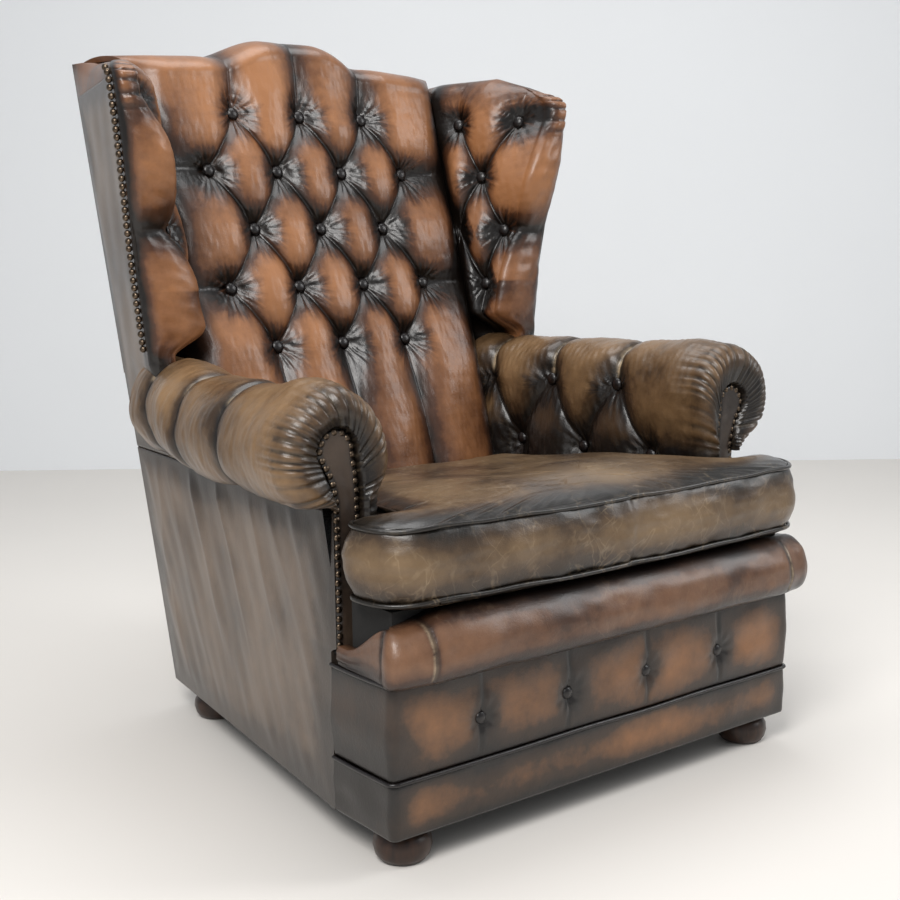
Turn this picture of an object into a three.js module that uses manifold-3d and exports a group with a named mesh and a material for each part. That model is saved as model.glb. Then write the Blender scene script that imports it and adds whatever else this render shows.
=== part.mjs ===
import * as THREE from 'three';
import { mergeVertices } from 'three/addons/utils/BufferGeometryUtils.js';
import Module from 'manifold-3d';

// Deep-buttoned leather wing armchair. Millimetres, +Z up, the front faces -Y.
// While it is built, y = 0 is the front face of the base. The whole is centred at the end.

// Base
const baseHalfWidth = 360;
const baseReturn = 126;
const baseDepth = 736;
const rearHalfWidth = 281;
const footHeight = 45;
const footRadius = 37;
const frontFootSet = 45;
const rearFootSide = 31;
const rearFootSet = 86;
const plinthTop = 116;
const apronTop = 236;
const borderThickness = 14;
const baseCornerRadius = 14;
const weltRadius = 4.5;
const panelThickness = 4;
const dustCoverThickness = 1.7;

// Rear edges: the outside back leans and its corners flare
const outerRake = THREE.MathUtils.degToRad(7.9);
const rearFlare = 0.066;

// Seat
const railTop = 250;
const deckBottom = 260.6;
const deckTop = 322;
const lipDepth = 44;
const lipSideShare = 0.38;
const cushionHalfWidth = 393;
const cushionFront = -26;
const cushionEarBack = 96;
const cushionBottomPiping = 334;
const cushionTopPiping = 422;
const cushionCrown = 32;
const pipingRadius = 5;
const cushionCornerRadius = 46;
const cushionNotchRadius = 16;
const cushionBow = 16;

// Inside back
const innerRake = THREE.MathUtils.degToRad(18);
const backButtonY = baseDepth - 111.4;
const backButtonZ = 540;
const backPadDepth = 62;
const backTuftHeight = 34;
const buttonPitch = 125.4;
const buttonRowHeight = 93.3;
const backLowestRow = 589;
const backRowCount = 5;
const backMiddle = 800;
const crestEnd = 1048;
const crestSlope = 18;
const crestHump = 26;
const crestHumpInner = 55;
const crestHumpOuter = 175;
const crestSpan = 330;
const crestRoll = 34;
const crestCover = 28;
const crestStep = 30;
const junctionX = 278.5;
const junctionZ = 595;
const junctionFlare = 0.0305;

// Wings
const wingFrontY = baseDepth - 178;
const wingFrontX = 378;
const wingFrontZ = 576;
const wingFootX = 325;
const wingSplay = 0.458;
const wingLean = 0.1795;
const wingButtonX = 300;
const wingButtonY = wingFrontY + 70;
const wingButtonZ = 678;
const wingColumnSet = 103;
const wingColumnShift = 33;
const wingColumnSpan = 192;
const wingButtonPitch = 82;
const wingPitchFlare = 0.138;
const wingPitchZ = 775;
const wingTuftHeight = 30;
const wingRollForward = 24;
const wingShoulder = 985;
const wingTopRoll = 50;
const wingCorner = 66;
const wingNailStep = 3;
const wingSweep = 30;
const wingSweepTop = 930;
const wingSweepFoot = 700;
const wingFrame = 22;
const wingFrameThin = 14;
const wingLowestRow = 678;
const wingRowCount = 4;

// Arms
const rollRadius = 74;
const rollX = 364;
const rollZ = 513;
const armFrontY = 120;
const armTaper = 0.0808;
const armTuftHeight = 25;
const armTuftOutside = 10;
const armPitch = 142;
const armFirstButtonY = 297;
const armUpperRow = 522;
const armLowerRow = 415;
const armUnderside = 430;
const armFaceY = 100;
const armPadBack = wingFrontY + 102;
const facingThickness = 13.7;
const postInset = 3.5;
const facingWidth = 36;
const facingHeadRadius = 26;
const facingHeadX = 354.5;
const facingHeadZ = 503;
const armPostDepth = 70;

// Frame stock
const railThickness = 30;
const sideRailThickness = 34;
const postThickness = 32;
const tackRailBottom = 290;
const tackRailTop = 340;
const armRailHeight = 75;
const armRailWidth = 32;
const wingPostDepth = 36;
const springWire = 4;
const springCount = 4;
const springPitch = 130;
const springWidth = 50;
const springLoops = 7;
const blockSize = 66;
const buttonRadius = 11;
const buttonDome = 8;
const fit = 0.3;
const beyond = 1200;

const wasm = await Module();
wasm.setup();

const leatherTan = new THREE.MeshStandardMaterial({ color: 0x9c6038, roughness: 0.42 });
const leatherOlive = new THREE.MeshStandardMaterial({ color: 0x76603f, roughness: 0.4 });
const leatherGrey = new THREE.MeshStandardMaterial({ color: 0x6e5e52, roughness: 0.5 });
const leatherDark = new THREE.MeshStandardMaterial({ color: 0x38281e, roughness: 0.45 });
const stainedWood = new THREE.MeshStandardMaterial({ color: 0x2c1a12, roughness: 0.4 });
const rawWood = new THREE.MeshStandardMaterial({ color: 0xb08a5c, roughness: 0.8 });
const springSteel = new THREE.MeshStandardMaterial({ color: 0x77787a, roughness: 0.35, metalness: 0.9 });
const platformCloth = new THREE.MeshStandardMaterial({ color: 0x2a2725, roughness: 0.95 });

const chair = new THREE.Group();

// Helpers

function addPiece(name, geometry, material) {
  const flat = geometry.index ? geometry.toNonIndexed() : geometry;
  flat.deleteAttribute('uv');
  flat.deleteAttribute('normal');
  const merged = mergeVertices(flat, 1e-3);
  merged.computeVertexNormals();
  const mesh = new THREE.Mesh(merged, material);
  mesh.name = name;
  chair.add(mesh);
}

function mirrored(geometry) {
  const copy = geometry.index ? geometry.toNonIndexed() : geometry.clone();
  const place = copy.attributes.position;
  for (let i = 0; i < place.count; i += 3) {
    const corners = [i, i + 2, i + 1].map((k) => [-place.getX(k), place.getY(k), place.getZ(k)]);
    corners.forEach((corner, k) => place.setXYZ(i + k, ...corner));
  }
  return copy;
}

function addPair(name, geometry, material) {
  addPiece(`${name}_right`, geometry, material);
  addPiece(`${name}_left`, mirrored(geometry), material);
}

function toSolid(geometry) {
  const bare = geometry.clone();
  bare.deleteAttribute('normal');
  bare.deleteAttribute('uv');
  const merged = mergeVertices(bare, 1e-4);
  return new wasm.Manifold(new wasm.Mesh({
    numProp: 3,
    vertProperties: new Float32Array(merged.attributes.position.array),
    triVerts: new Uint32Array(merged.index.array),
  }));
}

function toGeometry(solid) {
  const mesh = solid.getMesh();
  const places = new Float32Array((mesh.vertProperties.length / mesh.numProp) * 3);
  for (let i = 0; i < places.length / 3; i++) {
    places.set(mesh.vertProperties.subarray(i * mesh.numProp, i * mesh.numProp + 3), i * 3);
  }
  const geometry = new THREE.BufferGeometry();
  geometry.setAttribute('position', new THREE.BufferAttribute(places, 3));
  geometry.setIndex(Array.from(mesh.triVerts));
  return geometry;
}

function cut(geometry, ...cutters) {
  let solid = toSolid(geometry);
  for (const cutter of cutters) solid = solid.subtract(toSolid(cutter));
  return toGeometry(solid);
}

function join(geometry, ...others) {
  let solid = toSolid(geometry);
  for (const other of others) solid = solid.add(toSolid(other));
  return toGeometry(solid);
}

// Triangles over a closed ring, wound the way the ring runs. Straight runs are bent inwards a
// little while they are triangulated, so that every point on them keeps its own corner.
function capTriangles(ring) {
  const count = ring.length;
  const area = THREE.ShapeUtils.area(ring);
  const along = [0];
  ring.forEach((point, i) => along.push(along[i] + point.distanceTo(ring[(i + 1) % count])));
  const bent = ring.map((point, i) => {
    const share = along[i] / along[count];
    const run = ring[(i + 1) % count].clone().sub(ring[(i + count - 1) % count]).normalize();
    const inwards = new THREE.Vector2(-run.y, run.x).multiplyScalar(Math.sign(area));
    return point.clone().addScaledVector(inwards, 2 * share * (1 - share));
  });
  return THREE.ShapeUtils.triangulateShape(bent, []).map((face) => {
    const faceArea = THREE.ShapeUtils.area(face.map((i) => bent[i]));
    return faceArea * area > 0 ? face : [face[0], face[2], face[1]];
  });
}

// A closed solid skinned through rings of equally many points, capped at both ends
function loft(rings, flatten) {
  const count = rings[0].length;
  const index = [];
  for (let k = 0; k + 1 < rings.length; k++) {
    for (let i = 0; i < count; i++) {
      const a = k * count + i;
      const b = k * count + ((i + 1) % count);
      index.push(a, b, b + count, a, b + count, a + count);
    }
  }
  for (const face of capTriangles(rings[0].map(flatten))) index.push(face[0], face[2], face[1]);
  const last = (rings.length - 1) * count;
  for (const face of capTriangles(rings.at(-1).map(flatten))) index.push(...face.map((i) => i + last));
  const geometry = new THREE.BufferGeometry();
  geometry.setAttribute('position', new THREE.Float32BufferAttribute(rings.flat(2), 3));
  geometry.setIndex(index);
  return outward(geometry);
}

// Faces are turned round where the skin came out inside out
function outward(geometry) {
  const place = geometry.attributes.position;
  const index = geometry.index.array;
  const corner = [new THREE.Vector3(), new THREE.Vector3(), new THREE.Vector3()];
  let volume = 0;
  for (let i = 0; i < index.length; i += 3) {
    corner.forEach((point, k) => point.fromBufferAttribute(place, index[i + k]));
    volume += corner[0].dot(corner[1].cross(corner[2]));
  }
  if (volume < 0) {
    for (let i = 0; i < index.length; i += 3) [index[i + 1], index[i + 2]] = [index[i + 2], index[i + 1]];
  }
  return geometry;
}

const planView = ([x, y]) => new THREE.Vector2(x, y);
const sideView = ([, y, z]) => new THREE.Vector2(y, z);
const frontView = ([x, , z]) => new THREE.Vector2(x, z);

function steps(from, to, count) {
  return Array.from({ length: count + 1 }, (_, i) => from + ((to - from) * i) / count);
}

function slab(outline, bottom, top) {
  const shape = new THREE.Shape(outline.map(([x, y]) => new THREE.Vector2(x, y)));
  const geometry = new THREE.ExtrudeGeometry(shape, { depth: top - bottom, bevelEnabled: false });
  return geometry.translate(0, 0, bottom);
}

// An outline drawn in the XZ plane and extruded from y = front to y = back
function frontBoard(outline, front, back) {
  const shape = new THREE.Shape(outline.map(([x, z]) => new THREE.Vector2(x, z)));
  const geometry = new THREE.ExtrudeGeometry(shape, { depth: back - front, bevelEnabled: false });
  return geometry.rotateX(Math.PI / 2).translate(0, back, 0);
}

const smooth = (t) => THREE.MathUtils.smoothstep(t, 0, 1);
const clamp = THREE.MathUtils.clamp;
const lerp = THREE.MathUtils.lerp;

// Surfaces that the pieces share

const rearY = (z) => baseDepth + (z - footHeight) * Math.tan(outerRake);
const rearX = (z) => rearHalfWidth + (z - footHeight) * rearFlare;
const buttonPlaneY = (z) => backButtonY + (z - backButtonZ) * Math.tan(innerRake);
const padBackY = (z) => buttonPlaneY(z) + backPadDepth;
const junction = (z) => junctionX + (z - junctionZ) * junctionFlare;

// Half width of the outside arm panel, ruled between the front corner and the rear edge
function sideX(y, z) {
  const share = (y - baseReturn) / (rearY(z) - baseReturn);
  return lerp(baseHalfWidth, rearX(z), Math.max(0, share));
}

// The wing's front edge leans out as its outside panel grows deeper, so the panel stays flat
function wingFront(z) {
  const depthGrown = (rearY(z) - wingFrontY) / (rearY(wingFrontZ) - wingFrontY);
  if (z >= wingFrontZ) return rearX(z) + (wingFrontX - rearX(wingFrontZ)) * depthGrown;
  return lerp(wingFootX, wingFrontX, (z - armUnderside) / (wingFrontZ - armUnderside));
}

// Half width of the outside wing panel, ruled between the nailed front edge and the rear edge
function wingX(y, z) {
  return lerp(wingFront(z), rearX(z), (y - wingFrontY) / (rearY(z) - wingFrontY));
}

// Front edge of the wing in side view: forward at its broad top and swept back below
function wingEdgeY(z) {
  return wingFrontY + wingSweep * smooth((wingSweepTop - z) / (wingSweepTop - wingSweepFoot));
}

function wingPlaneX(y, z) {
  return wingButtonX + (wingButtonY - y) * wingSplay + (z - wingButtonZ) * wingLean;
}

function crestZ(x) {
  const reach = Math.abs(x);
  const hump = smooth((crestHumpOuter - reach) / (crestHumpOuter - crestHumpInner));
  return crestEnd + crestSlope * (1 - reach / crestSpan) + crestHump * hump;
}

const rollAxisX = (y) => rollX - armTaper * (y - armFrontY);
const armFrameX = (y) => sideX(y, armUnderside) - panelThickness - fit - facingWidth;

// Height share of a buttoned surface: 0 at a button, 1 at a pillow's crown.
// Buttons sit where a and b are whole numbers of the same parity.
const creaseRise = 0.36;
const pillowPower = 2.3;

function tuft(a, b) {
  const first = (a + b) / 2;
  const second = (b - a) / 2;
  const near = [first, second].map((q) => 1 - 2 * Math.abs(q - Math.round(q)));
  const pillow = near.reduce((product, t) => product * (1 - t ** pillowPower), 1);
  const saddle = 1 - Math.min(...near) ** 2;
  return creaseRise * saddle + (1 - creaseRise) * pillow;
}

function backTuft(x, z) {
  const a = clamp(x / (buttonPitch / 2), -3, 3);
  const b = clamp((z - backLowestRow) / buttonRowHeight, 0, backRowCount - 1);
  return tuft(a, b);
}

const wingPitch = (z) => wingButtonPitch + (z - wingPitchZ) * wingPitchFlare;

function wingColumnY(z) {
  const down = clamp(1 - (z - wingLowestRow) / wingColumnSpan, 0, 1);
  return wingFrontY + wingColumnSet - wingColumnShift * down ** 1.5;
}

function wingTuft(y, z) {
  const a = clamp((y - wingColumnY(z)) / (wingPitch(z) / 2), -1, 1);
  const b = clamp((z - wingLowestRow) / buttonRowHeight, 0, wingRowCount - 1);
  return tuft(a, b);
}

function armTuft(y, z, overTop) {
  const a = Math.max(-1, (y - armFirstButtonY) / (armPitch / 2));
  const b = overTop ? 1 : clamp((z - armLowerRow) / (armUpperRow - armLowerRow), 0, 1);
  return tuft(a, b - 1);
}

// Covered buttons

function coveredButton(place, normal) {
  const button = new THREE.CylinderGeometry(buttonRadius * 0.55, buttonRadius, buttonDome, 7);
  button.translate(0, buttonDome / 2 - 2, 0);
  button.applyQuaternion(new THREE.Quaternion().setFromUnitVectors(new THREE.Vector3(0, 1, 0), normal));
  return button.translate(...place);
}

function backButtons() {
  const normal = new THREE.Vector3(0, -Math.cos(innerRake), Math.sin(innerRake));
  const buttons = [];
  for (let row = 0; row < backRowCount; row++) {
    const z = backLowestRow + row * buttonRowHeight;
    const across = row % 2 ? [-1.5, -0.5, 0.5, 1.5] : [-1, 0, 1];
    for (const step of across) buttons.push(coveredButton([step * buttonPitch, buttonPlaneY(z), z], normal));
  }
  return buttons;
}

function wingButtons() {
  const normal = new THREE.Vector3(-1, -wingSplay, wingLean).normalize();
  const buttons = [];
  for (let row = 0; row < wingRowCount; row++) {
    const z = wingLowestRow + row * buttonRowHeight;
    for (const side of row % 2 ? [-0.5, 0.5] : [0]) {
      const y = wingColumnY(z) + side * wingPitch(z);
      if (y < buttonPlaneY(z) - 2 * buttonRadius) {
        buttons.push(coveredButton([wingPlaneX(y, z), y, z], normal));
      }
    }
  }
  return buttons;
}

function armButtons() {
  const normal = new THREE.Vector3(-1, -armTaper, 0).normalize();
  const buttons = [];
  for (let i = 0; i < 5; i++) {
    const y = armFirstButtonY + ((i - 1) * armPitch) / 2;
    const z = i % 2 ? armUpperRow : armLowerRow;
    buttons.push(coveredButton([rollAxisX(y) - rollRadius + armTuftHeight, y, z], normal));
  }
  return buttons;
}

// Upholstery cavities that hold the frame and the outside panels

const crestReach = rearX(wingShoulder) - panelThickness;

// Places across the crest where its line is sampled, from one side to the other
function crestStops(half) {
  const count = Math.floor(half / crestStep);
  const inner = steps(-count * crestStep, count * crestStep, 2 * count);
  return [-half, ...inner, half];
}

function backCavity() {
  const outer = [-crestReach - 60, -crestReach - 0.1];
  const rings = [...outer, ...crestStops(crestReach), ...outer.map((x) => -x).reverse()].map((x) => {
    const top = Math.abs(x) <= crestReach ? crestZ(x) - crestCover : wingShoulder;
    const lid = top + fit;
    return [[x, padBackY(0), 0], [x, beyond, 0], [x, beyond, lid], [x, padBackY(lid), lid]];
  });
  return loft(rings, sideView);
}

const wingLevels = [armUnderside, wingFrontZ, ...steps(wingSweepFoot, wingSweepTop, 4)];

function wingCavity() {
  const inward = panelThickness + fit + wingFrame;
  const rings = [railBottom, ...wingLevels, wingShoulder + fit].map((z) => {
    const front = wingEdgeY(z) + wingNailStep;
    return [
      [wingX(front, z) - inward, front, z],
      [beyond, front, z],
      [beyond, beyond, z],
      [wingX(beyond, z) - inward, beyond, z],
    ];
  });
  return loft(rings, planView);
}

// Frame

const railBottom = footHeight + dustCoverThickness + fit;
const baseInside = baseHalfWidth - borderThickness - fit;
const frontRailBack = borderThickness + fit + railThickness;
const panelInside = (y, z) => sideX(y, z) - panelThickness - fit;
const backPostFoot = padBackY(deckBottom) + fit;

function frontRail() {
  const outline = [
    [-baseInside, borderThickness + fit],
    [baseInside, borderThickness + fit],
    [baseInside, frontRailBack],
    [-baseInside, frontRailBack],
  ];
  return slab(outline, railBottom, railTop);
}

const sideRailInnerFront = baseInside - sideRailThickness;
const sideRailInnerBack = panelInside(backPostFoot - fit, railBottom) - sideRailThickness;

function sideRail() {
  const front = frontRailBack + fit;
  const step = baseReturn + fit;
  const back = backPostFoot - fit;
  const outline = [
    [sideRailInnerFront, front],
    [baseInside, front],
    [baseInside, step],
    [panelInside(step, railBottom), step],
    [panelInside(back, railBottom), back],
    [sideRailInnerBack, back],
  ];
  return slab(outline, railBottom, railTop);
}

function backPost() {
  const ring = (z) => {
    const front = Math.max(backPostFoot, padBackY(z) + fit);
    const back = rearY(z) - panelThickness - fit;
    const outer = rearX(z) - panelThickness - fit;
    const inner = outer - postThickness;
    return [[inner, front, z], [outer, front, z], [outer, back, z], [inner, back, z]];
  };
  return loft([railBottom, deckBottom, wingShoulder].map(ring), planView);
}

function crossRail(bottom, top, frontOf, thickness) {
  const ring = (z) => {
    const half = rearX(z) - panelThickness - 2 * fit - postThickness;
    const front = frontOf(z);
    return [[-half, front, z], [half, front, z], [half, front + thickness, z], [-half, front + thickness, z]];
  };
  return loft([ring(bottom), ring(top)], planView);
}

const rearRailFront = (z) => rearY(z) - panelThickness - fit - railThickness;
const rearRail = () => crossRail(railBottom, railTop, rearRailFront, railThickness);
const backTackRail = () => crossRail(tackRailBottom, tackRailTop, (z) => padBackY(z) + fit, railThickness);
const crestRailBottom = wingShoulder - 60;

function crestRail() {
  const half = rearX(crestRailBottom) - panelThickness - 2 * fit - postThickness;
  const rings = crestStops(half).map((x) => {
    const top = crestZ(x) - crestCover;
    const front = (z) => padBackY(z) + fit;
    const back = (z) => rearY(z) - panelThickness - fit;
    return [
      [x, front(crestRailBottom), crestRailBottom],
      [x, back(crestRailBottom), crestRailBottom],
      [x, back(top), top],
      [x, front(top), top],
    ];
  });
  return loft(rings, sideView);
}

// The scroll outline of an arm's front board; the facing is the same outline made a little larger
function scrollOutline(bottom, grow) {
  const inner = facingInnerX - grow;
  const outer = facingInnerX + facingWidth + grow;
  const head = facingHeadRadius + grow;
  const shape = new THREE.Shape();
  shape.moveTo(inner, bottom - grow);
  shape.lineTo(outer, bottom - grow);
  shape.lineTo(outer, facingHeadZ - 2.6 * facingHeadRadius);
  const start = -0.35;
  const end = Math.PI + 0.15;
  const startX = facingHeadX + head * Math.cos(start);
  const startZ = facingHeadZ + head * Math.sin(start);
  shape.quadraticCurveTo(outer + 1, facingHeadZ - 1.4 * facingHeadRadius, startX, startZ);
  shape.absarc(facingHeadX, facingHeadZ, head, start, end, false);
  const neck = facingHeadZ - 2.6 * facingHeadRadius;
  shape.quadraticCurveTo(inner + 1, facingHeadZ - 1.2 * facingHeadRadius, inner, neck);
  return shape.getPoints(4).map((point) => [point.x, point.y]);
}

const facingInnerX = baseHalfWidth - panelThickness - fit - facingWidth + 3;
const facingBottom = railTop + fit;
const armPostFront = baseReturn + fit;
const armPostBack = armPostFront + armPostDepth;
const facingFront = baseReturn - facingThickness;


function armPostBody(grow) {
  const outline = scrollOutline(facingBottom + postInset, grow - postInset);
  return frontBoard(outline, armPostFront, armPostBack + grow);
}

// Below the scroll the post is planed flush with the outside panel
function armPost() {
  const outline = [armPostFront, armPostBack + 50].map((y) => [panelInside(y, railTop) - 0.5, y]);
  const clear = [[2 * baseHalfWidth, armPostBack + 50], [2 * baseHalfWidth, armPostFront - 1]];
  const waste = slab([...outline, ...clear], 0, armUnderside + fit);
  return cut(armPostBody(0), waste);
}

function armRail(grow) {
  const bottom = armUnderside - armRailHeight / 2 - grow;
  const top = armUnderside + armRailHeight / 2 + grow;
  const outer = (y) => panelInside(y, bottom) - 0.5 + grow;
  const inner = (y) => outer(y) - armRailWidth - 2 * grow;
  const end = (y) => [[inner(y), y, bottom], [outer(y), y, bottom], [outer(y), y, top], [inner(y), y, top]];
  const front = armPostBack + fit - grow;
  const rear = end(padBackY(bottom)).map(([x, , z]) => [x, padBackY(z) + grow, z]);
  return loft([end(front), rear], frontView);
}

const wingPostBack = wingFrontY + wingSweep + wingPostDepth;

function wingPost(grow) {
  const foot = armUnderside + armRailHeight / 2 + fit - grow;
  const top = wingShoulder;
  const outer = (z) => wingX(wingPostBack, z) - panelThickness - 3 * fit + grow;
  const outline = [
    [outer(foot) - wingFrame - wingFrameThin - 2 * grow, foot],
    [outer(foot), foot],
    [outer(wingFrontZ), wingFrontZ],
    [outer(top), top],
    [outer(top) - wingFrameThin - 2 * grow, top],
    [outer(wingFrontZ) - wingFrameThin - 2 * grow, wingFrontZ],
  ];
  return frontBoard(outline, wingFrontY + wingSweep + wingNailStep + fit - grow, wingPostBack + grow);
}

function wingRail() {
  const bottom = wingShoulder - 40;
  const front = wingPostBack + fit;
  const outer = (y, z) => wingX(y, z) - panelThickness - 3 * fit;
  const inner = (y, z) => outer(y, z) - wingFrameThin;
  const end = (y) => [[inner, bottom], [outer, bottom], [outer, wingShoulder], [inner, wingShoulder]]
    .map(([face, z]) => [face(y, z), y, z]);
  return loft([end(front), end(padBackY(bottom))], frontView);
}

function frontCornerBlock() {
  const front = frontRailBack + fit;
  const length = backPostFoot - fit - front;
  const inner = (y) => lerp(sideRailInnerFront, sideRailInnerBack, (y - front) / length) - fit;
  const rear = front + blockSize;
  const outline = [[inner(front), front], [inner(rear), rear], [inner(front) - blockSize, front]];
  return slab(outline, railBottom, railBottom + blockSize);
}

function rearCornerBlock() {
  const x = rearX(railBottom) - panelThickness - postThickness - 2 * fit;
  const y = rearY(railBottom) - panelThickness - railThickness - 2 * fit;
  return slab([[x, y], [x - blockSize, y], [x, y - blockSize]], railBottom, railBottom + blockSize);
}

function seatSpring(x) {
  const front = borderThickness + fit + railThickness / 2;
  const back = baseDepth - panelThickness - railThickness / 2;
  const points = [];
  const turns = springLoops * 4;
  for (let i = 0; i <= turns; i++) {
    const share = i / turns;
    const bow = Math.sin(share * Math.PI) * (deckBottom - railTop - springWire - 2 * fit);
    const swing = (springWidth / 2) * Math.sin((i * Math.PI) / 2);
    points.push(new THREE.Vector3(x + swing, lerp(front, back, share), railTop + fit + springWire / 2 + bow));
  }
  const path = new THREE.CatmullRomCurve3(points);
  const section = new THREE.Shape();
  section.absellipse(0, 0, springWire / 2, springWire / 2, 0, 2 * Math.PI);
  const wire = new THREE.Shape(section.getPoints(2).slice(0, -1));
  return new THREE.ExtrudeGeometry(wire, { steps: turns, extrudePath: path, bevelEnabled: false });
}

function bunFoot(x, y) {
  const top = footHeight - fit;
  const profile = [
    [0, 0],
    [footRadius * 0.62, 0],
    [footRadius * 0.9, top * 0.16],
    [footRadius, top * 0.45],
    [footRadius * 0.93, top * 0.72],
    [footRadius * 0.74, top * 0.86],
    [footRadius * 0.8, top],
    [0, top],
  ];
  const foot = new THREE.LatheGeometry(profile.map(([r, z]) => new THREE.Vector2(r, z)), 14);
  return foot.rotateX(Math.PI / 2).translate(x, y, 0);
}

// Inside back: a buttoned pad that rolls over the crest

function backPad(grow) {
  const half = junction(backMiddle);
  const columnStep = buttonPitch / 6;
  const columnCount = Math.floor((junctionX - columnStep / 2) / columnStep);
  const columns = steps(-columnCount, columnCount, 2 * columnCount).map((k) => (k * columnStep) / half);
  const lowRows = steps(deckBottom, backLowestRow, 5).slice(0, -1);
  const rowStep = buttonRowHeight / 4;
  const tuftRows = steps(backLowestRow, backLowestRow + rowStep * 17, 17);
  const rings = [-1, ...columns, 1].map((u) => {
    const edge = 1 - Math.abs(u);
    const rounding = 1 - (1 - Math.min(1, (edge * junctionX) / 52)) ** 2.2;
    const crestTop = crestZ(u * rearX(crestEnd));
    const rollStart = crestTop - crestRoll;
    const frontY = (z) => {
      const height = backTuftHeight * rounding * (0.12 + 0.88 * backTuft(u * junction(z), z));
      return buttonPlaneY(z) - height - grow;
    };
    const across = (y, z) => {
      const share = clamp((y - buttonPlaneY(z)) / (rearY(z) - buttonPlaneY(z)), 0, 1);
      return u * (lerp(junction(z), rearX(z), share) + grow);
    };
    const ring = [...lowRows, ...tuftRows].map((z) => [across(frontY(z), z), frontY(z), z]);
    const rollFront = frontY(rollStart);
    const rollBack = rearY(rollStart);
    ring.push([across(rollFront, rollStart), rollFront, rollStart]);
    for (const angle of [150, 120, 90, 55, 20].map(THREE.MathUtils.degToRad)) {
      const y = (rollFront + rollBack) / 2 + ((rollBack - rollFront) / 2) * Math.cos(angle);
      const z = rollStart + crestRoll * Math.sin(angle);
      ring.push([across(y, z), y, z]);
    }
    ring.push([u * rearX(rollStart), rollBack, rollStart]);
    ring.push([u * rearX(deckBottom), rearY(deckBottom), deckBottom]);
    return ring;
  });
  return loft(rings, sideView);
}

// Inside wing: buttoned inside, rolled round the front edge and over the top

function wingRing(z) {
  const over = clamp((z - wingShoulder) / wingTopRoll, 0, 0.96);
  const thin = Math.sqrt(1 - over * over);
  const rise = clamp((z - wingShoulder - wingTopRoll + wingCorner) / wingCorner, 0, 0.97);
  const nailY = wingEdgeY(z) + wingNailStep + wingCorner * (1 - Math.sqrt(1 - rise * rise));
  const nail = [wingX(nailY, z), nailY];
  const backEdge = [junction(z), buttonPlaneY(z)];
  const innerY = nailY + 5;
  const normal = [-0.909, -0.416];
  const surface = (y) => {
    const spread = (backEdge[1] - y) / 46;
    const rounding = 1 - (1 - clamp(spread, 0, 1)) ** 2.2;
    const height = wingTuftHeight * rounding * (0.12 + 0.88 * wingTuft(y, z));
    return [wingPlaneX(y, z) + normal[0] * height, y + normal[1] * height];
  };
  const inner = surface(innerY);
  const points = [];
  for (const angle of steps(0, Math.PI, 6).slice(0, -1)) {
    const across = (1 - Math.cos(angle)) / 2;
    const pleat = 0.72 + 0.28 * wingTuft(wingFrontY, z);
    const forward = wingRollForward * Math.sin(angle) * pleat;
    points.push([lerp(nail[0], inner[0], across), lerp(nail[1], inner[1], across) - forward]);
  }
  for (const y of steps(innerY, backEdge[1], 9).slice(0, -1)) points.push(surface(y));
  points.push([...backEdge]);
  points.push([rearX(z), rearY(z)]);
  return points.map(([x, y]) => {
    const middle = wingX(y, z) - wingTopRoll * 0.8;
    const towardsBack = smooth((y - wingButtonY) / (backEdge[1] - wingButtonY));
    return [lerp(middle, x, lerp(thin, 1, towardsBack)), y, z];
  });
}

function wingPad() {
  const low = [500, 560, 600, 630, 655];
  const rows = steps(wingLowestRow, wingShoulder, 13);
  const roll = [0.4, 0.7, 0.9, 1].map((share) => wingShoulder + wingTopRoll * share);
  return loft([...low, ...rows, ...roll].map(wingRing), planView);
}

// Arm: a buttoned pad that climbs the inside and scrolls over to the outside

const frontInsets = [[0, 30], [3, 17], [9, 8], [19, 2.5]];

function armRing(y, inset, grow) {
  const axis = rollAxisX(y);
  const backing = armFrameX(y) - fit;
  const surface = (z, angle) => {
    const over = clamp((Math.PI - angle) / (0.78 * Math.PI), 0, 1);
    const depth = lerp(armTuftHeight, armTuftOutside, smooth(over));
    const tufted = 0.1 + 0.9 * armTuft(y, z, angle < Math.PI - 0.12);
    return rollRadius - depth * (1 - tufted) + grow;
  };
  const ring = [[backing, y, deckBottom]];
  for (const z of steps(deckBottom, rollZ - 8, 7)) {
    const x = axis - surface(z, Math.PI) + Math.min(inset, 18);
    ring.push([Math.min(x, backing - 3), y, z]);
  }
  const heel = smooth((y - wingFrontY + 70) / 70) * 14;
  for (const angle of steps(Math.PI, -Math.PI / 2, 18)) {
    const gather = inset > 0 ? 2.4 * Math.cos(angle * 6) * Math.min(1, inset / 8) : 0;
    const outside = Math.max(0, Math.cos(angle)) * heel;
    const radius = surface(rollZ + 20, angle) - inset + gather - outside;
    ring.push([axis + radius * Math.cos(angle), y, rollZ + radius * Math.sin(angle)]);
  }
  ring.push([sideX(y, armUnderside) + Math.max(0, 2 - inset), y, armUnderside]);
  ring.push([backing, y, armUnderside]);
  return ring;
}

function armBody(grow, back) {
  const rings = frontInsets.map(([step, inset]) => armRing(armFaceY + step, inset, grow));
  const front = armFaceY + 32;
  const quarter = armPitch / 4;
  for (let y = front; y < back; y += quarter) rings.push(armRing(y, 0, grow));
  return loft(rings, frontView);
}

function armPad(backCutter) {
  const facingSpace = frontBoard(scrollOutline(facingBottom, fit), armFaceY - 30, baseReturn + fit);
  const frame = [armPostBody(fit), armRail(fit), wingPost(fit), wingCavity(), backCavity()];
  const body = cut(armBody(0, armPadBack), facingSpace, ...frame, backCutter);
  return join(body, ...armButtons());
}

// Base border: pieces that run along the front and return along both sides

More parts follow.
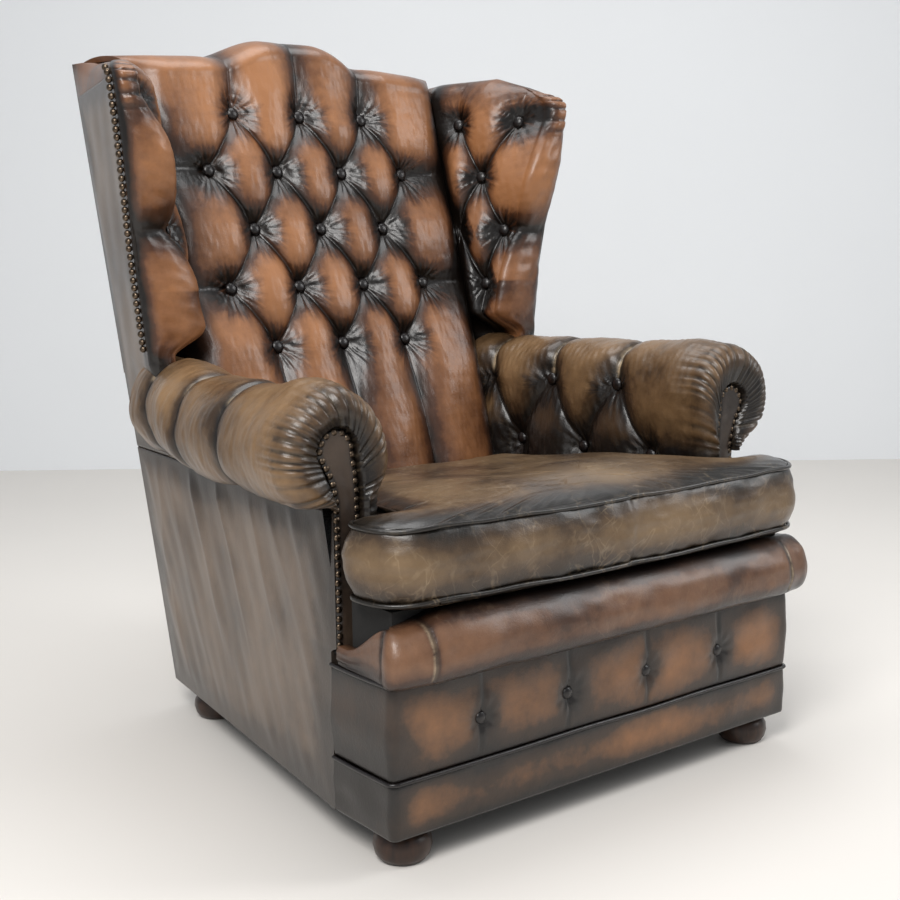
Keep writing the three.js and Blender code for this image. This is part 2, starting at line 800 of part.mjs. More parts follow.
function borderPath(reach, stops) {
  const half = baseHalfWidth;
  const r = baseCornerRadius;
  const shape = new THREE.Path();
  shape.moveTo(half, reach);
  for (const y of steps(reach, r, 2).slice(1)) shape.lineTo(half, y);
  shape.absarc(half - r, r, r, 0, -Math.PI / 2, true);
  for (const x of stops) shape.lineTo(x, 0);
  shape.lineTo(r - half, 0);
  shape.absarc(r - half, r, r, -Math.PI / 2, -Math.PI, true);
  for (const y of steps(r, reach, 2).slice(1)) shape.lineTo(-half, y);
  const points = shape.getPoints(3);
  return points.filter((point, i) => i === 0 || point.distanceTo(points[i - 1]) > 1e-3);
}

// Section points are (outward, z) pairs; the outward step may change along the path
function alongBorder(reach, stops, section) {
  const path = borderPath(reach, stops);
  const rings = path.map((point, i) => {
    const before = path[Math.max(0, i - 1)];
    const after = path[Math.min(path.length - 1, i + 1)];
    const along = after.clone().sub(before).normalize();
    const normal = [-along.y, along.x];
    const place = ([out, z]) => [point.x + normal[0] * out, point.y + normal[1] * out, z];
    return section(point.x, point.y).map(place);
  });
  return loft(rings, frontView);
}

const apronBottom = plinthTop + weltRadius + fit;
const apronLid = apronTop - weltRadius - fit;
const apronButtonPitch = 144;
const apronButtonShift = -8;
const apronButtons = [-1.5, -0.5, 0.5, 1.5].map((step) => step * apronButtonPitch + apronButtonShift);
const apronButtonZ = lerp(apronBottom, apronLid, 0.55);
const apronButtonSeat = 9;

function apronPanel() {
  const rows = [0, 0.14, 0.36, 0.55, 0.74, 0.9, 1];
  const stops = apronButtons.flatMap((at) => [-44, -18, -8, 0, 8, 18].map((step) => at + step)).reverse();
  return alongBorder(baseReturn, stops, (x, y) => {
    const near = Math.min(...apronButtons.map((at) => Math.abs(x - at)));
    const isFront = y < baseCornerRadius ? 1 : 0;
    const skin = rows.map((share) => {
      const z = lerp(apronBottom, apronLid, share);
      const puff = 3.2 * Math.sin(Math.PI * share) ** 0.6;
      const dimple = 8 * Math.exp(-((near / 17) ** 2) - ((z - apronButtonZ) / 15) ** 2);
      const fold = 2.6 * Math.exp(-((near / 9) ** 2)) * Math.sin(Math.PI * share);
      return [puff - isFront * (dimple + fold) - 1.5, z];
    });
    return [[-borderThickness, apronBottom], ...skin, [-borderThickness, apronLid]];
  });
}

function apronButton(x) {
  const profile = [[0, 0], [buttonRadius, 0], [buttonRadius * 0.8, buttonDome * 0.45], [0, buttonDome * 0.7]];
  const button = new THREE.LatheGeometry(profile.map(([r, rise]) => new THREE.Vector2(r, rise)), 10);
  return button.rotateX(Math.PI).translate(x, apronButtonSeat, apronButtonZ);
}

function apronButtonHole(x) {
  const hole = new THREE.CylinderGeometry(buttonRadius + fit, buttonRadius + fit, 4 * buttonDome, 20);
  return hole.translate(x, apronButtonSeat + fit - 2 * buttonDome, apronButtonZ);
}

function plinthBand() {
  const top = plinthTop - weltRadius - fit;
  return alongBorder(baseReturn, [], () => [
    [-borderThickness, footHeight],
    [-1.5, footHeight],
    [0.8, footHeight + 6],
    [1.6, (footHeight + top) / 2],
    [0, top],
    [-borderThickness, top],
  ]);
}

function weltStrip(z) {
  return alongBorder(baseReturn, [], () =>
    steps(0, 2 * Math.PI, 6).slice(1).map((angle) => {
      return [weltRadius * Math.cos(angle) - 1, z + weltRadius * Math.sin(angle)];
    }));
}

// Front lip: a fat roll on the front, flatter where it returns along the sides
function lipRoll() {
  const bottom = apronTop + weltRadius + fit;
  const top = deckTop;
  const lower = [[0, 0], [0.3, -0.01], [0.62, 0.04], [0.9, 0.22], [1, 0.48]];
  const upper = [[0.93, 0.72], [0.66, 0.92], [0.3, 1], [0, 1]];
  return alongBorder(baseReturn - facingThickness - 2, steps(320, -320, 4), (x, y) => {
    const share = lerp(1, lipSideShare, smooth((y - 2) / 44));
    const round = lerp(1, 0.35, smooth((y - 70) / 45));
    const depth = lipDepth * share * round;
    const skin = [...lower, ...upper].map(([out, up]) => {
      return [out * depth - 1, lerp(bottom, top, Math.max(0, up))];
    });
    return [[-borderThickness, bottom], ...skin, [-borderThickness, top]];
  });
}

// Seat

const armInside = (y) => rollAxisX(y) - rollRadius - 2.5;

function seatDeck() {
  const front = borderThickness + fit;
  const ears = armFaceY - 1;
  const back = buttonPlaneY(deckBottom) - backTuftHeight - 1;
  const half = [[baseInside, front], [baseInside, ears], [armInside(ears), ears], [armInside(back), back]];
  const outline = [...half, ...half.map(([x, y]) => [-x, y]).reverse()];
  return slab(outline, deckBottom + fit, deckTop);
}

// A T in plan: ears in front of the arms, a neck between them
function cushionOutline() {
  const back = buttonPlaneY(cushionBottomPiping) - backTuftHeight - 3;
  const half = cushionHalfWidth;
  const r = cushionCornerRadius;
  const earRadius = cushionCornerRadius * 0.85;
  const neck = (y) => armInside(y) - 3;
  const notch = cushionNotchRadius;
  const notchX = neck(cushionEarBack) + notch;
  const frontAt = (x) => cushionFront + cushionBow * (x / half) ** 2;
  const shape = new THREE.Path();
  shape.moveTo(0, cushionFront);
  for (const x of steps(0, half - r, 4).slice(1)) shape.lineTo(x, frontAt(x));
  shape.absarc(half - r, frontAt(half - r) + r, r, -Math.PI / 2, 0, false);
  shape.absarc(half - earRadius, cushionEarBack - earRadius, earRadius, 0, Math.PI / 2, false);
  shape.absarc(notchX, cushionEarBack + notch, notch, -Math.PI / 2, -Math.PI, true);
  for (const y of steps(cushionEarBack + notch, back - r, 3).slice(1)) shape.lineTo(neck(y), y);
  shape.absarc(neck(back) - r, back - r, r, 0, Math.PI / 2, false);
  shape.lineTo(0, back);
  const points = shape.getPoints(4);
  const right = points.filter((point, i) => i === 0 || point.distanceTo(points[i - 1]) > 0.5);
  const left = right.slice(1, -1).map((point) => new THREE.Vector2(-point.x, point.y)).reverse();
  return [...right, ...left];
}

function seatCushion() {
  const outline = cushionOutline();
  const count = outline.length;
  const normals = outline.map((point, i) => {
    const along = outline[(i + 1) % count].clone().sub(outline[(i + count - 1) % count]).normalize();
    return new THREE.Vector2(along.y, -along.x);
  });
  const p = pipingRadius;
  const low = cushionBottomPiping;
  const high = cushionTopPiping;
  const profile = [
    [24, deckTop + fit],
    [2, low - p * 0.8],
    [-2, low],
    [2, low + p * 0.9],
    [-4, lerp(low, high, 0.5)],
    [2, high - p * 0.9],
    [-2, high],
    [2, high + p * 0.9],
    [14, high + cushionCrown * 0.64],
    [33, high + cushionCrown],
  ];
  const rings = profile.map(([inset, z]) => outline.map((point, i) => {
    return [point.x - normals[i].x * inset, point.y - normals[i].y * inset, z];
  }));
  return loft(rings, planView);
}

// Outside panels

function outsideArm() {
  const ring = (z) => {
    const stops = steps(baseReturn + fit, rearY(z) - panelThickness - fit, 3);
    const outer = stops.map((y) => [sideX(y, z), y, z]);
    return [...outer, ...outer.map(([x, y]) => [x - panelThickness, y, z]).reverse()];
  };
  return loft(steps(footHeight, armUnderside - fit, 5).map(ring), planView);
}

function outsideWing() {
  const ring = (z) => {
    const stops = [wingEdgeY(z) + wingNailStep + fit, rearY(z) - panelThickness - fit];
    const outer = stops.map((y) => [wingX(y, z), y, z]);
    return [...outer, ...outer.map(([x, y]) => [x - panelThickness, y, z]).reverse()];
  };
  return loft([armUnderside + fit, ...wingLevels.slice(1), wingShoulder].map(ring), planView);
}

function outsideBack() {
  const topHalf = crestReach - fit;
  const rings = crestStops(topHalf).map((x) => {
    const share = x / topHalf;
    const top = crestZ(x) - crestCover - fit;
    const foot = share * rearHalfWidth;
    return [
      [foot, rearY(footHeight) - panelThickness, footHeight],
      [foot, rearY(footHeight), footHeight],
      [x, rearY(top), top],
      [x, rearY(top) - panelThickness, top],
    ];
  });
  return loft(rings, sideView);
}

function dustCover() {
  const back = baseDepth - panelThickness - fit;
  const half = [
    [baseInside, borderThickness + fit],
    [baseInside, baseReturn],
    [panelInside(baseReturn, footHeight), baseReturn + fit],
    [panelInside(back, footHeight), back],
  ];
  const outline = [...half, ...half.map(([x, y]) => [-x, y]).reverse()];
  return slab(outline, footHeight, footHeight + dustCoverThickness);
}

// Assembly

addPiece('front_rail', frontRail(), rawWood);
addPiece('rear_rail', rearRail(), rawWood);
addPair('side_rail', sideRail(), rawWood);
addPair('back_post', backPost(), rawWood);
addPiece('crest_rail', crestRail(), rawWood);
addPiece('back_tack_rail', backTackRail(), rawWood);
addPair('arm_post', armPost(), rawWood);
addPair('arm_rail', armRail(0), rawWood);
addPair('wing_post', wingPost(0), rawWood);
addPair('wing_rail', wingRail(), rawWood);
addPair('front_corner_block', frontCornerBlock(), rawWood);
addPair('rear_corner_block', rearCornerBlock(), rawWood);
addPair('front_foot', bunFoot(baseHalfWidth - frontFootSet, frontFootSet), stainedWood);
addPair('rear_foot', bunFoot(rearHalfWidth - rearFootSide, baseDepth - rearFootSet), stainedWood);
for (let i = 0; i < springCount; i++) {
  addPiece(`seat_spring_${i + 1}`, seatSpring((i - (springCount - 1) / 2) * springPitch), springSteel);
}
const back = cut(backPad(0), backCavity(), armRail(fit), mirrored(armRail(fit)));
addPiece('inside_back_pad', join(back, ...backButtons()), leatherTan);
const backCutter = backPad(fit);
const armCutter = armBody(fit, beyond);
const wing = cut(wingPad(), armCutter, wingCavity(), backCavity(), wingPost(fit), backCutter);
addPair('inside_wing_pad', join(wing, ...wingButtons()), leatherTan);
addPair('arm_pad', armPad(backCutter), leatherOlive);
addPair('arm_facing', frontBoard(scrollOutline(facingBottom, 0), facingFront, baseReturn), leatherDark);
addPiece('seat_deck', seatDeck(), platformCloth);
addPiece('seat_cushion', seatCushion(), leatherOlive);
addPiece('lip_roll', lipRoll(), leatherTan);
addPiece('apron_panel', cut(apronPanel(), ...apronButtons.map(apronButtonHole)), leatherTan);
apronButtons.forEach((x, i) => addPiece(`apron_button_${i + 1}`, apronButton(x), leatherDark));
addPiece('apron_welt', weltStrip(apronTop), leatherDark);
addPiece('plinth_welt', weltStrip(plinthTop), leatherDark);
addPiece('plinth_band', plinthBand(), leatherTan);
addPair('outside_arm', outsideArm(), leatherGrey);
addPair('outside_wing', outsideWing(), leatherGrey);
addPiece('outside_back', outsideBack(), leatherGrey);
addPiece('dust_cover', dustCover(), platformCloth);

// The origin is the centre of the box on the floor
const box = new THREE.Box3().setFromObject(chair);
const middle = box.getCenter(new THREE.Vector3());
for (const mesh of chair.children) mesh.position.set(-middle.x, -middle.y, -box.min.z);

export default chair;
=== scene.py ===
"""The visible covers of a worn, deep-buttoned wing armchair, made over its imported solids.

Shapes are worked out in millimetres from the front face of the chair's base and
turned into the frame's metres when a cover is made.
"""

import math

import bmesh
import bpy
import numpy as np
from mathutils import Matrix, Vector


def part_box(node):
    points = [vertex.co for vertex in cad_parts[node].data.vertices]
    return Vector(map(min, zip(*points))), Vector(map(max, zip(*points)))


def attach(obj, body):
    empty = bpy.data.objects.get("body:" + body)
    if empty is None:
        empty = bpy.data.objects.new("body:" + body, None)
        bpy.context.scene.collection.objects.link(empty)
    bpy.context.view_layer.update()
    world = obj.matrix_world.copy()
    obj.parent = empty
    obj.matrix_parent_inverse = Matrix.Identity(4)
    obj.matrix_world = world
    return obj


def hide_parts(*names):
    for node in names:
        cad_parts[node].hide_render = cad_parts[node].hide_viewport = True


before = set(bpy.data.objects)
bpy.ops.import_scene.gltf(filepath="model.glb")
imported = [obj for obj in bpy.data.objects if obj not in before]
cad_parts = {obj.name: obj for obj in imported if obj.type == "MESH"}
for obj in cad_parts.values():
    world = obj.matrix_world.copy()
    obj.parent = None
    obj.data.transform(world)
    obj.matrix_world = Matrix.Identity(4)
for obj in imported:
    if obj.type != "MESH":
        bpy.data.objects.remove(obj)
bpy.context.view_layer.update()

# Measures shared with the chair's frame, in millimetres
MM = 0.001
BORDER_FRONT = 14.3
SHIFT_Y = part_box("front_rail")[0].y - BORDER_FRONT * MM
BASE_HALF = 360.0
BASE_RETURN = 126.0
BASE_DEPTH = 736.0
REAR_HALF = 281.0
FOOT_TOP = 45.0
PLINTH_TOP = 116.0
APRON_TOP = 236.0
CORNER_RADIUS = 9.0
OUTER_RAKE = math.tan(math.radians(7.9))
REAR_FLARE = 0.066
BACK_LEAN = math.radians(18.0)
INNER_RAKE = math.tan(BACK_LEAN)
DECK_TOP = 322.0
FIT = 0.3
PANEL = 4.0

# Inside back
BUTTON_Y = 624.6
BUTTON_Z = 540.0
PAD_DEPTH = 62.0
BACK_TUFT = 34.0
HALF_PITCH = 62.7
ROW_HEIGHT = 93.3
BACK_LOW_ROW = 589.0
BACK_ROWS = 5
CREST_Z = 1048.0
CREST_FOOT = 1040.0
CREST_ROLL = 34.0
CREST_COVER = 28.0

# Wings
WING_FRONT = 558.0
WING_FOOT_X = 325.0
WING_X = 378.0
WING_Z = 576.0
WING_LOW_ROW = 678.0
WING_ROWS = 4
WING_SHOULDER = 985.0
WING_ROLL = 50.0
WING_CORNER = 66.0
WING_SLOPE = {"left": 262.0, "right": 80.0}
WING_NAIL_STEP = 3.0
WING_NAIL_BAND = 5.0
WING_SWEEP = 30.0
WING_SWEEP_TOP = 930.0
WING_SWEEP_FOOT = 700.0
WING_FORWARD = 24.0
WING_TUFT = 30.0
WING_INWARD = 0.458
WING_FLARE = 0.1795
WING_NORMAL = (-0.909, -0.416)

# Arms
ROLL_RADIUS = 74.0
ROLL_X = 364.0
ROLL_Z = 513.0
ARM_FRONT = 120.0
ARM_FACE = 100.0
ARM_TAPER = 0.0808
ARM_TUFT = 25.0
ARM_TUFT_OUTSIDE = 10.0
ARM_HALF_PITCH = 71.0
ARM_FIRST = 297.0
ARM_UPPER = 522.0
ARM_LOWER = 415.0
ARM_ROW = ARM_UPPER - ARM_LOWER
ARM_UNDER = 430.0
ARM_SETTLED = {"left": 14.0, "right": -3.0}
ARM_FULLER = {"left": 16.0, "right": 8.0}
FACING_INNER = 322.7
FACING_WIDTH = 36.0
FACING_HEAD = 26.0
FACING_HEAD_X = 354.5
FACING_HEAD_Z = 503.0
FACING_FRONT = 112.3
FACING_LOW = 250.3
FACING_THICKNESS = 8.0
FACING_NAIL_FOOT = 262.0

# Cells of mesh in one step of the button pattern
CELLS = 24


def smooth(value, low=0.0, high=1.0):
    """0 below low, 1 above high, and a soft step between."""
    share = np.clip((value - low) / (high - low), 0.0, 1.0)
    return share * share * (3.0 - 2.0 * share)


def mix(a, b, share):
    return a + (b - a) * share


def bell(value, width):
    return np.exp(-((value / width) ** 2))


# Lines and planes of the chair

def rear_y(z):
    return BASE_DEPTH + (z - FOOT_TOP) * OUTER_RAKE


def rear_x(z):
    return REAR_HALF + (z - FOOT_TOP) * REAR_FLARE


def button_plane(z):
    return BUTTON_Y + (z - BUTTON_Z) * INNER_RAKE


def junction(z):
    return 278.5 + (z - 595.0) * 0.0305


def side_x(y, z):
    share = np.maximum(0.0, (y - BASE_RETURN) / (rear_y(z) - BASE_RETURN))
    return mix(BASE_HALF, rear_x(z), share)


def wing_front_x(z):
    grown = (rear_y(z) - WING_FRONT) / (rear_y(WING_Z) - WING_FRONT)
    high = rear_x(z) + (WING_X - rear_x(WING_Z)) * grown
    low = mix(WING_FOOT_X, WING_X, (z - ARM_UNDER) / (WING_Z - ARM_UNDER))
    return np.where(z >= WING_Z, high, low)


def wing_x(y, z):
    return mix(wing_front_x(z), rear_x(z), (y - WING_FRONT) / (rear_y(z) - WING_FRONT))


def wing_edge_y(z):
    """Front edge of the wing in side view: forward at its broad top and swept back below."""
    return WING_FRONT + WING_SWEEP * smooth((WING_SWEEP_TOP - z) / (WING_SWEEP_TOP - WING_SWEEP_FOOT))


def wing_nail_y(z):
    """The line of nails in side view, bent back round the wing's top corner."""
    rise = np.clip((z - WING_SHOULDER - WING_ROLL + WING_CORNER) / WING_CORNER, 0.0, 1.0)
    return wing_edge_y(z) + WING_NAIL_STEP + WING_CORNER * (1.0 - np.sqrt(1.0 - rise ** 2))


def wing_plane_x(y, z):
    return 300.0 + (628.0 - y) * WING_INWARD + (z - WING_LOW_ROW) * WING_FLARE


def crest_z(x):
    reach = np.abs(x)
    hump = smooth((175.0 - reach) / 120.0)
    return CREST_Z + 18.0 * (1.0 - reach / 330.0) + 26.0 * hump


def roll_axis_x(y):
    return ROLL_X - ARM_TAPER * (y - ARM_FRONT)


# Noise that needs no seed: sums of sines at unrelated angles

def ripple_noise(x, y, size, seed):
    """A soft, wandering value from about -1 to 1 whose hills are about size across."""
    total = np.zeros(np.broadcast(x, y).shape)
    rng = np.random.default_rng(seed)
    for _ in range(9):
        angle = rng.uniform(0, math.tau)
        pace = math.tau / size * rng.uniform(0.45, 1.25)
        phase = rng.uniform(0, math.tau)
        total = total + np.sin((x * math.cos(angle) + y * math.sin(angle)) * pace + phase)
    return total / 3.0


# Deep buttoning

def tuft(a, b, power=2.5, sharp=0.8):
    """Height of the stuffing, 0 at a button and 1 on a pillow, with a and b in pattern steps."""
    first = (a + b) / 2.0
    second = (b - a) / 2.0
    near_first = 1.0 - 2.0 * np.abs(first - np.round(first))
    near_second = 1.0 - 2.0 * np.abs(second - np.round(second))
    pillow = ((1.0 - near_first ** power) * (1.0 - near_second ** power)) ** sharp
    saddle = 1.0 - np.minimum(near_first, near_second) ** 2
    return 0.34 * saddle + 0.66 * pillow, pillow


def nearest_button(a, b, a_limit, b_limit, a_free, b_free, a_step, b_step):
    """The way to the nearest real button: across, along and the distance, in millimetres."""
    first = np.round((a + b) / 2.0)
    second = np.round((b - a) / 2.0)
    button_a = first - second
    button_b = first + second
    missing = (button_a < a_limit[0]) | (button_a > a_limit[1])
    missing |= (button_b < b_limit[0]) | (button_b > b_limit[1])
    across = (a_free - button_a) * a_step
    along = (b_free - button_b) * b_step
    distance = np.hypot(across, along)
    distance = np.where(missing, 400.0, distance)
    return across, along, distance, button_a, button_b


def puckers(across, along, distance, button_a, button_b, seed):
    """Sharp little folds that run out from each button, in millimetres."""
    angle = np.arctan2(along, across)
    total = np.zeros(angle.shape)
    for k, lobes in enumerate((7, 11, 17)):
        wander = np.sin(button_a * 12.99 + button_b * 78.23 + k * 37.7 + seed) * 43758.5453
        phase = (wander - np.floor(wander)) * math.tau
        wave = np.sin(lobes * angle + phase + 0.5 * np.sin(3.0 * angle + phase))
        total += (1.0 - 2.0 * np.abs(wave) ** 0.7) / (1.0 + 0.4 * k)
    reach = bell(distance - 15.0, 10.0) + 0.5 * bell(distance - 27.0, 13.0)
    return total * reach * 1.25


def crease_lines(a, b, half_step):
    """1 on the folded lines between buttons and 0 a few millimetres away from them."""
    first = np.abs((a + b) / 2.0 - np.round((a + b) / 2.0)) * half_step
    second = np.abs((b - a) / 2.0 - np.round((b - a) / 2.0)) * half_step
    return np.maximum(bell(first, 2.6), bell(second, 2.6))


def spokes(across, along, distance):
    """A direction that turns about the nearest button, for streaks that run out from it."""
    length = np.maximum(distance, 1e-3)
    return np.stack([across / length, along / length, distance / 40.0], axis=-1)


# Covers made from a grid

def linked(name, data):
    """A new object in the scene that shows data."""
    made = bpy.data.objects.new(name, data)
    bpy.context.scene.collection.objects.link(made)
    return made


def linked_mesh(name, bm):
    mesh = bpy.data.meshes.new(name)
    bm.to_mesh(mesh)
    bm.free()
    return linked(name, mesh)


def into_frame(points):
    metres = np.asarray(points, float) * MM
    metres[..., 1] += SHIFT_Y
    return metres


def cover_from_grid(name, points, marks=None, folds=None, seal=True):
    """A flat grid moved onto points (rows, columns, 3), joined where it meets itself and capped."""
    rows, columns = points.shape[:2]
    bm = bmesh.new()
    bmesh.ops.create_grid(bm, x_segments=columns - 1, y_segments=rows - 1, size=1.0)
    mesh = bpy.data.meshes.new(name)
    bm.to_mesh(mesh)
    bm.clear()
    mesh.vertices.foreach_set("co", into_frame(points).ravel())
    for mark, values in (marks or {}).items():
        kind = "FLOAT" if values.ndim == 2 else "FLOAT_VECTOR"
        layer = mesh.attributes.new(mark, kind, "POINT")
        layer.data.foreach_set("value" if values.ndim == 2 else "vector", values.ravel())
    bm.from_mesh(mesh)
    bm.faces.ensure_lookup_table()
    if folds is not None:
        flags = folds[:-1, :-1].ravel()
        along = [face for face, flag in zip(bm.faces, flags) if flag]
        across = [face for face, flag in zip(bm.faces, flags) if not flag]
        bmesh.ops.triangulate(bm, faces=along, quad_method="FIXED")
        bmesh.ops.triangulate(bm, faces=across, quad_method="ALTERNATE")
    bmesh.ops.remove_doubles(bm, verts=bm.verts, dist=2e-5)
    bmesh.ops.dissolve_degenerate(bm, edges=bm.edges, dist=1e-6)
    for face in bm.faces:
        face.smooth = True
    if seal:
        rims = [edge for edge in bm.edges if edge.is_boundary]
        for edge in rims:
            edge.smooth = False
        bmesh.ops.holes_fill(bm, edges=rims, sides=0)
    bmesh.ops.recalc_face_normals(bm, faces=bm.faces)
    bm.to_mesh(mesh)
    bm.free()
    return linked(name, mesh)


def closed_ring(points):
    """The first row repeated as the last, so that the grid meets itself."""
    return np.concatenate([points, points[:1]], axis=0)


def closed_round(values):
    """The first column repeated as the last, so that the grid meets itself the other way."""
    return np.concatenate([values, values[:, :1]], axis=1)


def tube(name, path, radius, sides=10, looped=False):
    """A round strip along a path (count, 3) in millimetres."""
    path = np.asarray(path, float)
    if looped:
        ahead = np.roll(path, -1, axis=0) - np.roll(path, 1, axis=0)
    else:
        ahead = np.gradient(path, axis=0)
    ahead /= np.linalg.norm(ahead, axis=1)[:, None]
    upward = np.tile([0.0, 0.0, 1.0], (len(path), 1))
    sideways = np.cross(ahead, upward)
    sideways /= np.maximum(np.linalg.norm(sideways, axis=1)[:, None], 1e-6)
    upward = np.cross(sideways, ahead)
    turns = np.linspace(0, math.tau, sides + 1)
    rings = [path + radius * (math.cos(t) * sideways + math.sin(t) * upward) for t in turns]
    points = np.stack(rings)
    if looped:
        points = closed_round(points)
    return cover_from_grid(name, points, seal=not looped)


def sign_of(side):
    return 1.0 if side == "right" else -1.0


# Inside back: rows of pillows under a shaped crest

def back_column_x(step, z):
    """Where a column of the grid stands: even steps of the pattern, then out to the wing."""
    inner = np.minimum(np.abs(step), 4.0) * HALF_PITCH
    spare = (junction(z) - 4.0 * HALF_PITCH) * np.maximum(np.abs(step) - 4.0, 0.0) / 0.5
    return np.sign(step) * (inner + spare)


def back_cover():
    step = np.arange(-int(4.5 * CELLS), int(4.5 * CELLS) + 1) / CELLS
    u = back_column_x(step, CREST_FOOT) / junction(CREST_FOOT)
    crest = crest_z(u * rear_x(CREST_Z))
    roll_start = crest - CREST_ROLL
    rows = np.arange(0, int(6.65 * CELLS) + 1) / CELLS - 2.65
    low = np.tile((BACK_LOW_ROW + rows * ROW_HEIGHT)[:, None], (1, len(step)))
    rise = np.linspace(0.0, 1.0, CELLS + 2)[1:, None]
    high = mix(low[-1][None, :], roll_start[None, :], rise)
    z = np.concatenate([low, high])
    s = np.tile(step, (len(z), 1))
    x = back_column_x(s, z)
    a = np.clip(s, -3.0, 3.0)
    b_free = (z - BACK_LOW_ROW) / ROW_HEIGHT
    b = np.clip(b_free, 0.0, BACK_ROWS - 1.0)
    height, pillow = tuft(a, b)
    below = smooth((BACK_LOW_ROW - z) / 150.0)
    above = smooth((z - 962.0) / 90.0)
    outside = smooth(np.abs(s), 3.0, 4.4)
    ease = 1.0 - (1.0 - 0.5 * below) * (1.0 - 0.5 * above) * (1.0 - 0.35 * outside)
    height = mix(height, 1.0, ease)
    edge = junction(z) - np.abs(x)
    rounding = 1.0 - (1.0 - np.clip(edge / 52.0, 0.0, 1.0)) ** 2.2
    way = nearest_button(a, b, (-3, 3), (0, 4), s, b_free, HALF_PITCH, ROW_HEIGHT)
    lumps = ripple_noise(x, z, 95.0, 11) * 1.6 * pillow
    fine = ripple_noise(x * 1.6, z * 0.8, 17.0, 12) * 0.3
    depth = BACK_TUFT * rounding * (0.10 + 0.90 * height) + rounding * (lumps + fine)
    depth += rounding * puckers(*way, seed=1.0)
    lines = crease_lines(a, b, 2.0 * HALF_PITCH) * (1.0 - 0.8 * outside)
    depth -= rounding * (7.0 * bell(way[2], 15.0) + 2.2 * lines * (1.0 - 0.5 * np.maximum(above, below)))
    y = button_plane(z) - depth
    sag = 5.0 * pillow * rounding * (1.0 - above) * (1.0 - below)
    front = np.stack([x, y, z - sag], axis=-1)

    turns = np.linspace(math.pi, math.radians(12.0), int(1.6 * CELLS))[1:, None]
    front_y = y[-1][None, :]
    back_y = rear_y(roll_start)[None, :]
    roll_y = (front_y + back_y) / 2.0 + (back_y - front_y) / 2.0 * np.cos(turns)
    groove = (1.0 - height[-1])[None, :] * np.sin(turns) * np.maximum(0.0, -np.cos(turns) + 0.5)
    roll_z = roll_start[None, :] + CREST_ROLL * np.sin(turns) - 7.0 * groove
    leaned = np.clip((roll_y - button_plane(roll_z)) / (rear_y(roll_z) - button_plane(roll_z)), 0, 1)
    roll_x = u[None, :] * mix(junction(roll_z), rear_x(roll_z), leaned)
    roll = np.stack([roll_x, roll_y, roll_z], axis=-1)

    rest = []
    for z_back in (crest - CREST_COVER + 0.6, crest - 120.0, np.full_like(crest, low[0, 0])):
        half = junction(z_back) + 6.0
        rest.append(np.stack([u * half, button_plane(z_back) + PAD_DEPTH - 2.0, z_back], axis=-1))
    points = closed_ring(np.concatenate([front, roll, np.stack(rest)]))

    tail = len(points) - len(z)
    reach = way[2]
    rub = pillow ** 0.7 * smooth(reach, 8.0, 54.0)
    rub = mix(rub, 1.0, 0.35 * below + 0.25 * above)
    # Painted shade: darker in the outer columns and towards the corners where the back meets the wings,
    # fading out up at the crest.
    painted_junction_shade = mix(smooth(edge, -4.0, 46.0), 1.0, 0.8 * smooth(z, 965.0, 1000.0))
    rub = rub * painted_junction_shade * (1.0 - 0.25 * outside)
    rub = grow_rows(rub, tail)
    way = [grow_rows(part, tail) for part in way]
    folds = fold_lines(grow_rows(a, tail), grow_rows(b, tail))
    marks = {"rub": rub, "spoke": spokes(*way[:3]), "reach": way[2] / 100.0}
    return cover_from_grid("tufted_back", points, marks, folds)


def grow_rows(values, count):
    """The last row repeated, for the rows that follow the patterned face."""
    return np.concatenate([values, np.tile(values[-1], (count, 1))])


def fold_lines(a, b):
    """Which way to split each cell, so that its diagonal runs along the nearest crease."""
    first = (a + b) / 2.0
    second = (b - a) / 2.0
    near_first = np.abs(first - np.round(first))
    near_second = np.abs(second - np.round(second))
    return near_second < near_first


# Wings: a buttoned inner face, a front roll that ends at the nails, and a rounded top

def wing_pitch(z):
    return 82.0 + (z - 775.0) * 0.138


def wing_column(z):
    down = np.clip(1.0 - (z - WING_LOW_ROW) / 192.0, 0.0, 1.0)
    return WING_FRONT + 103.0 - 33.0 * down ** 1.5


def wing_steps(y, z):
    a = (y - wing_column(z)) / (wing_pitch(z) / 2.0)
    b = (z - WING_LOW_ROW) / ROW_HEIGHT
    return a, b


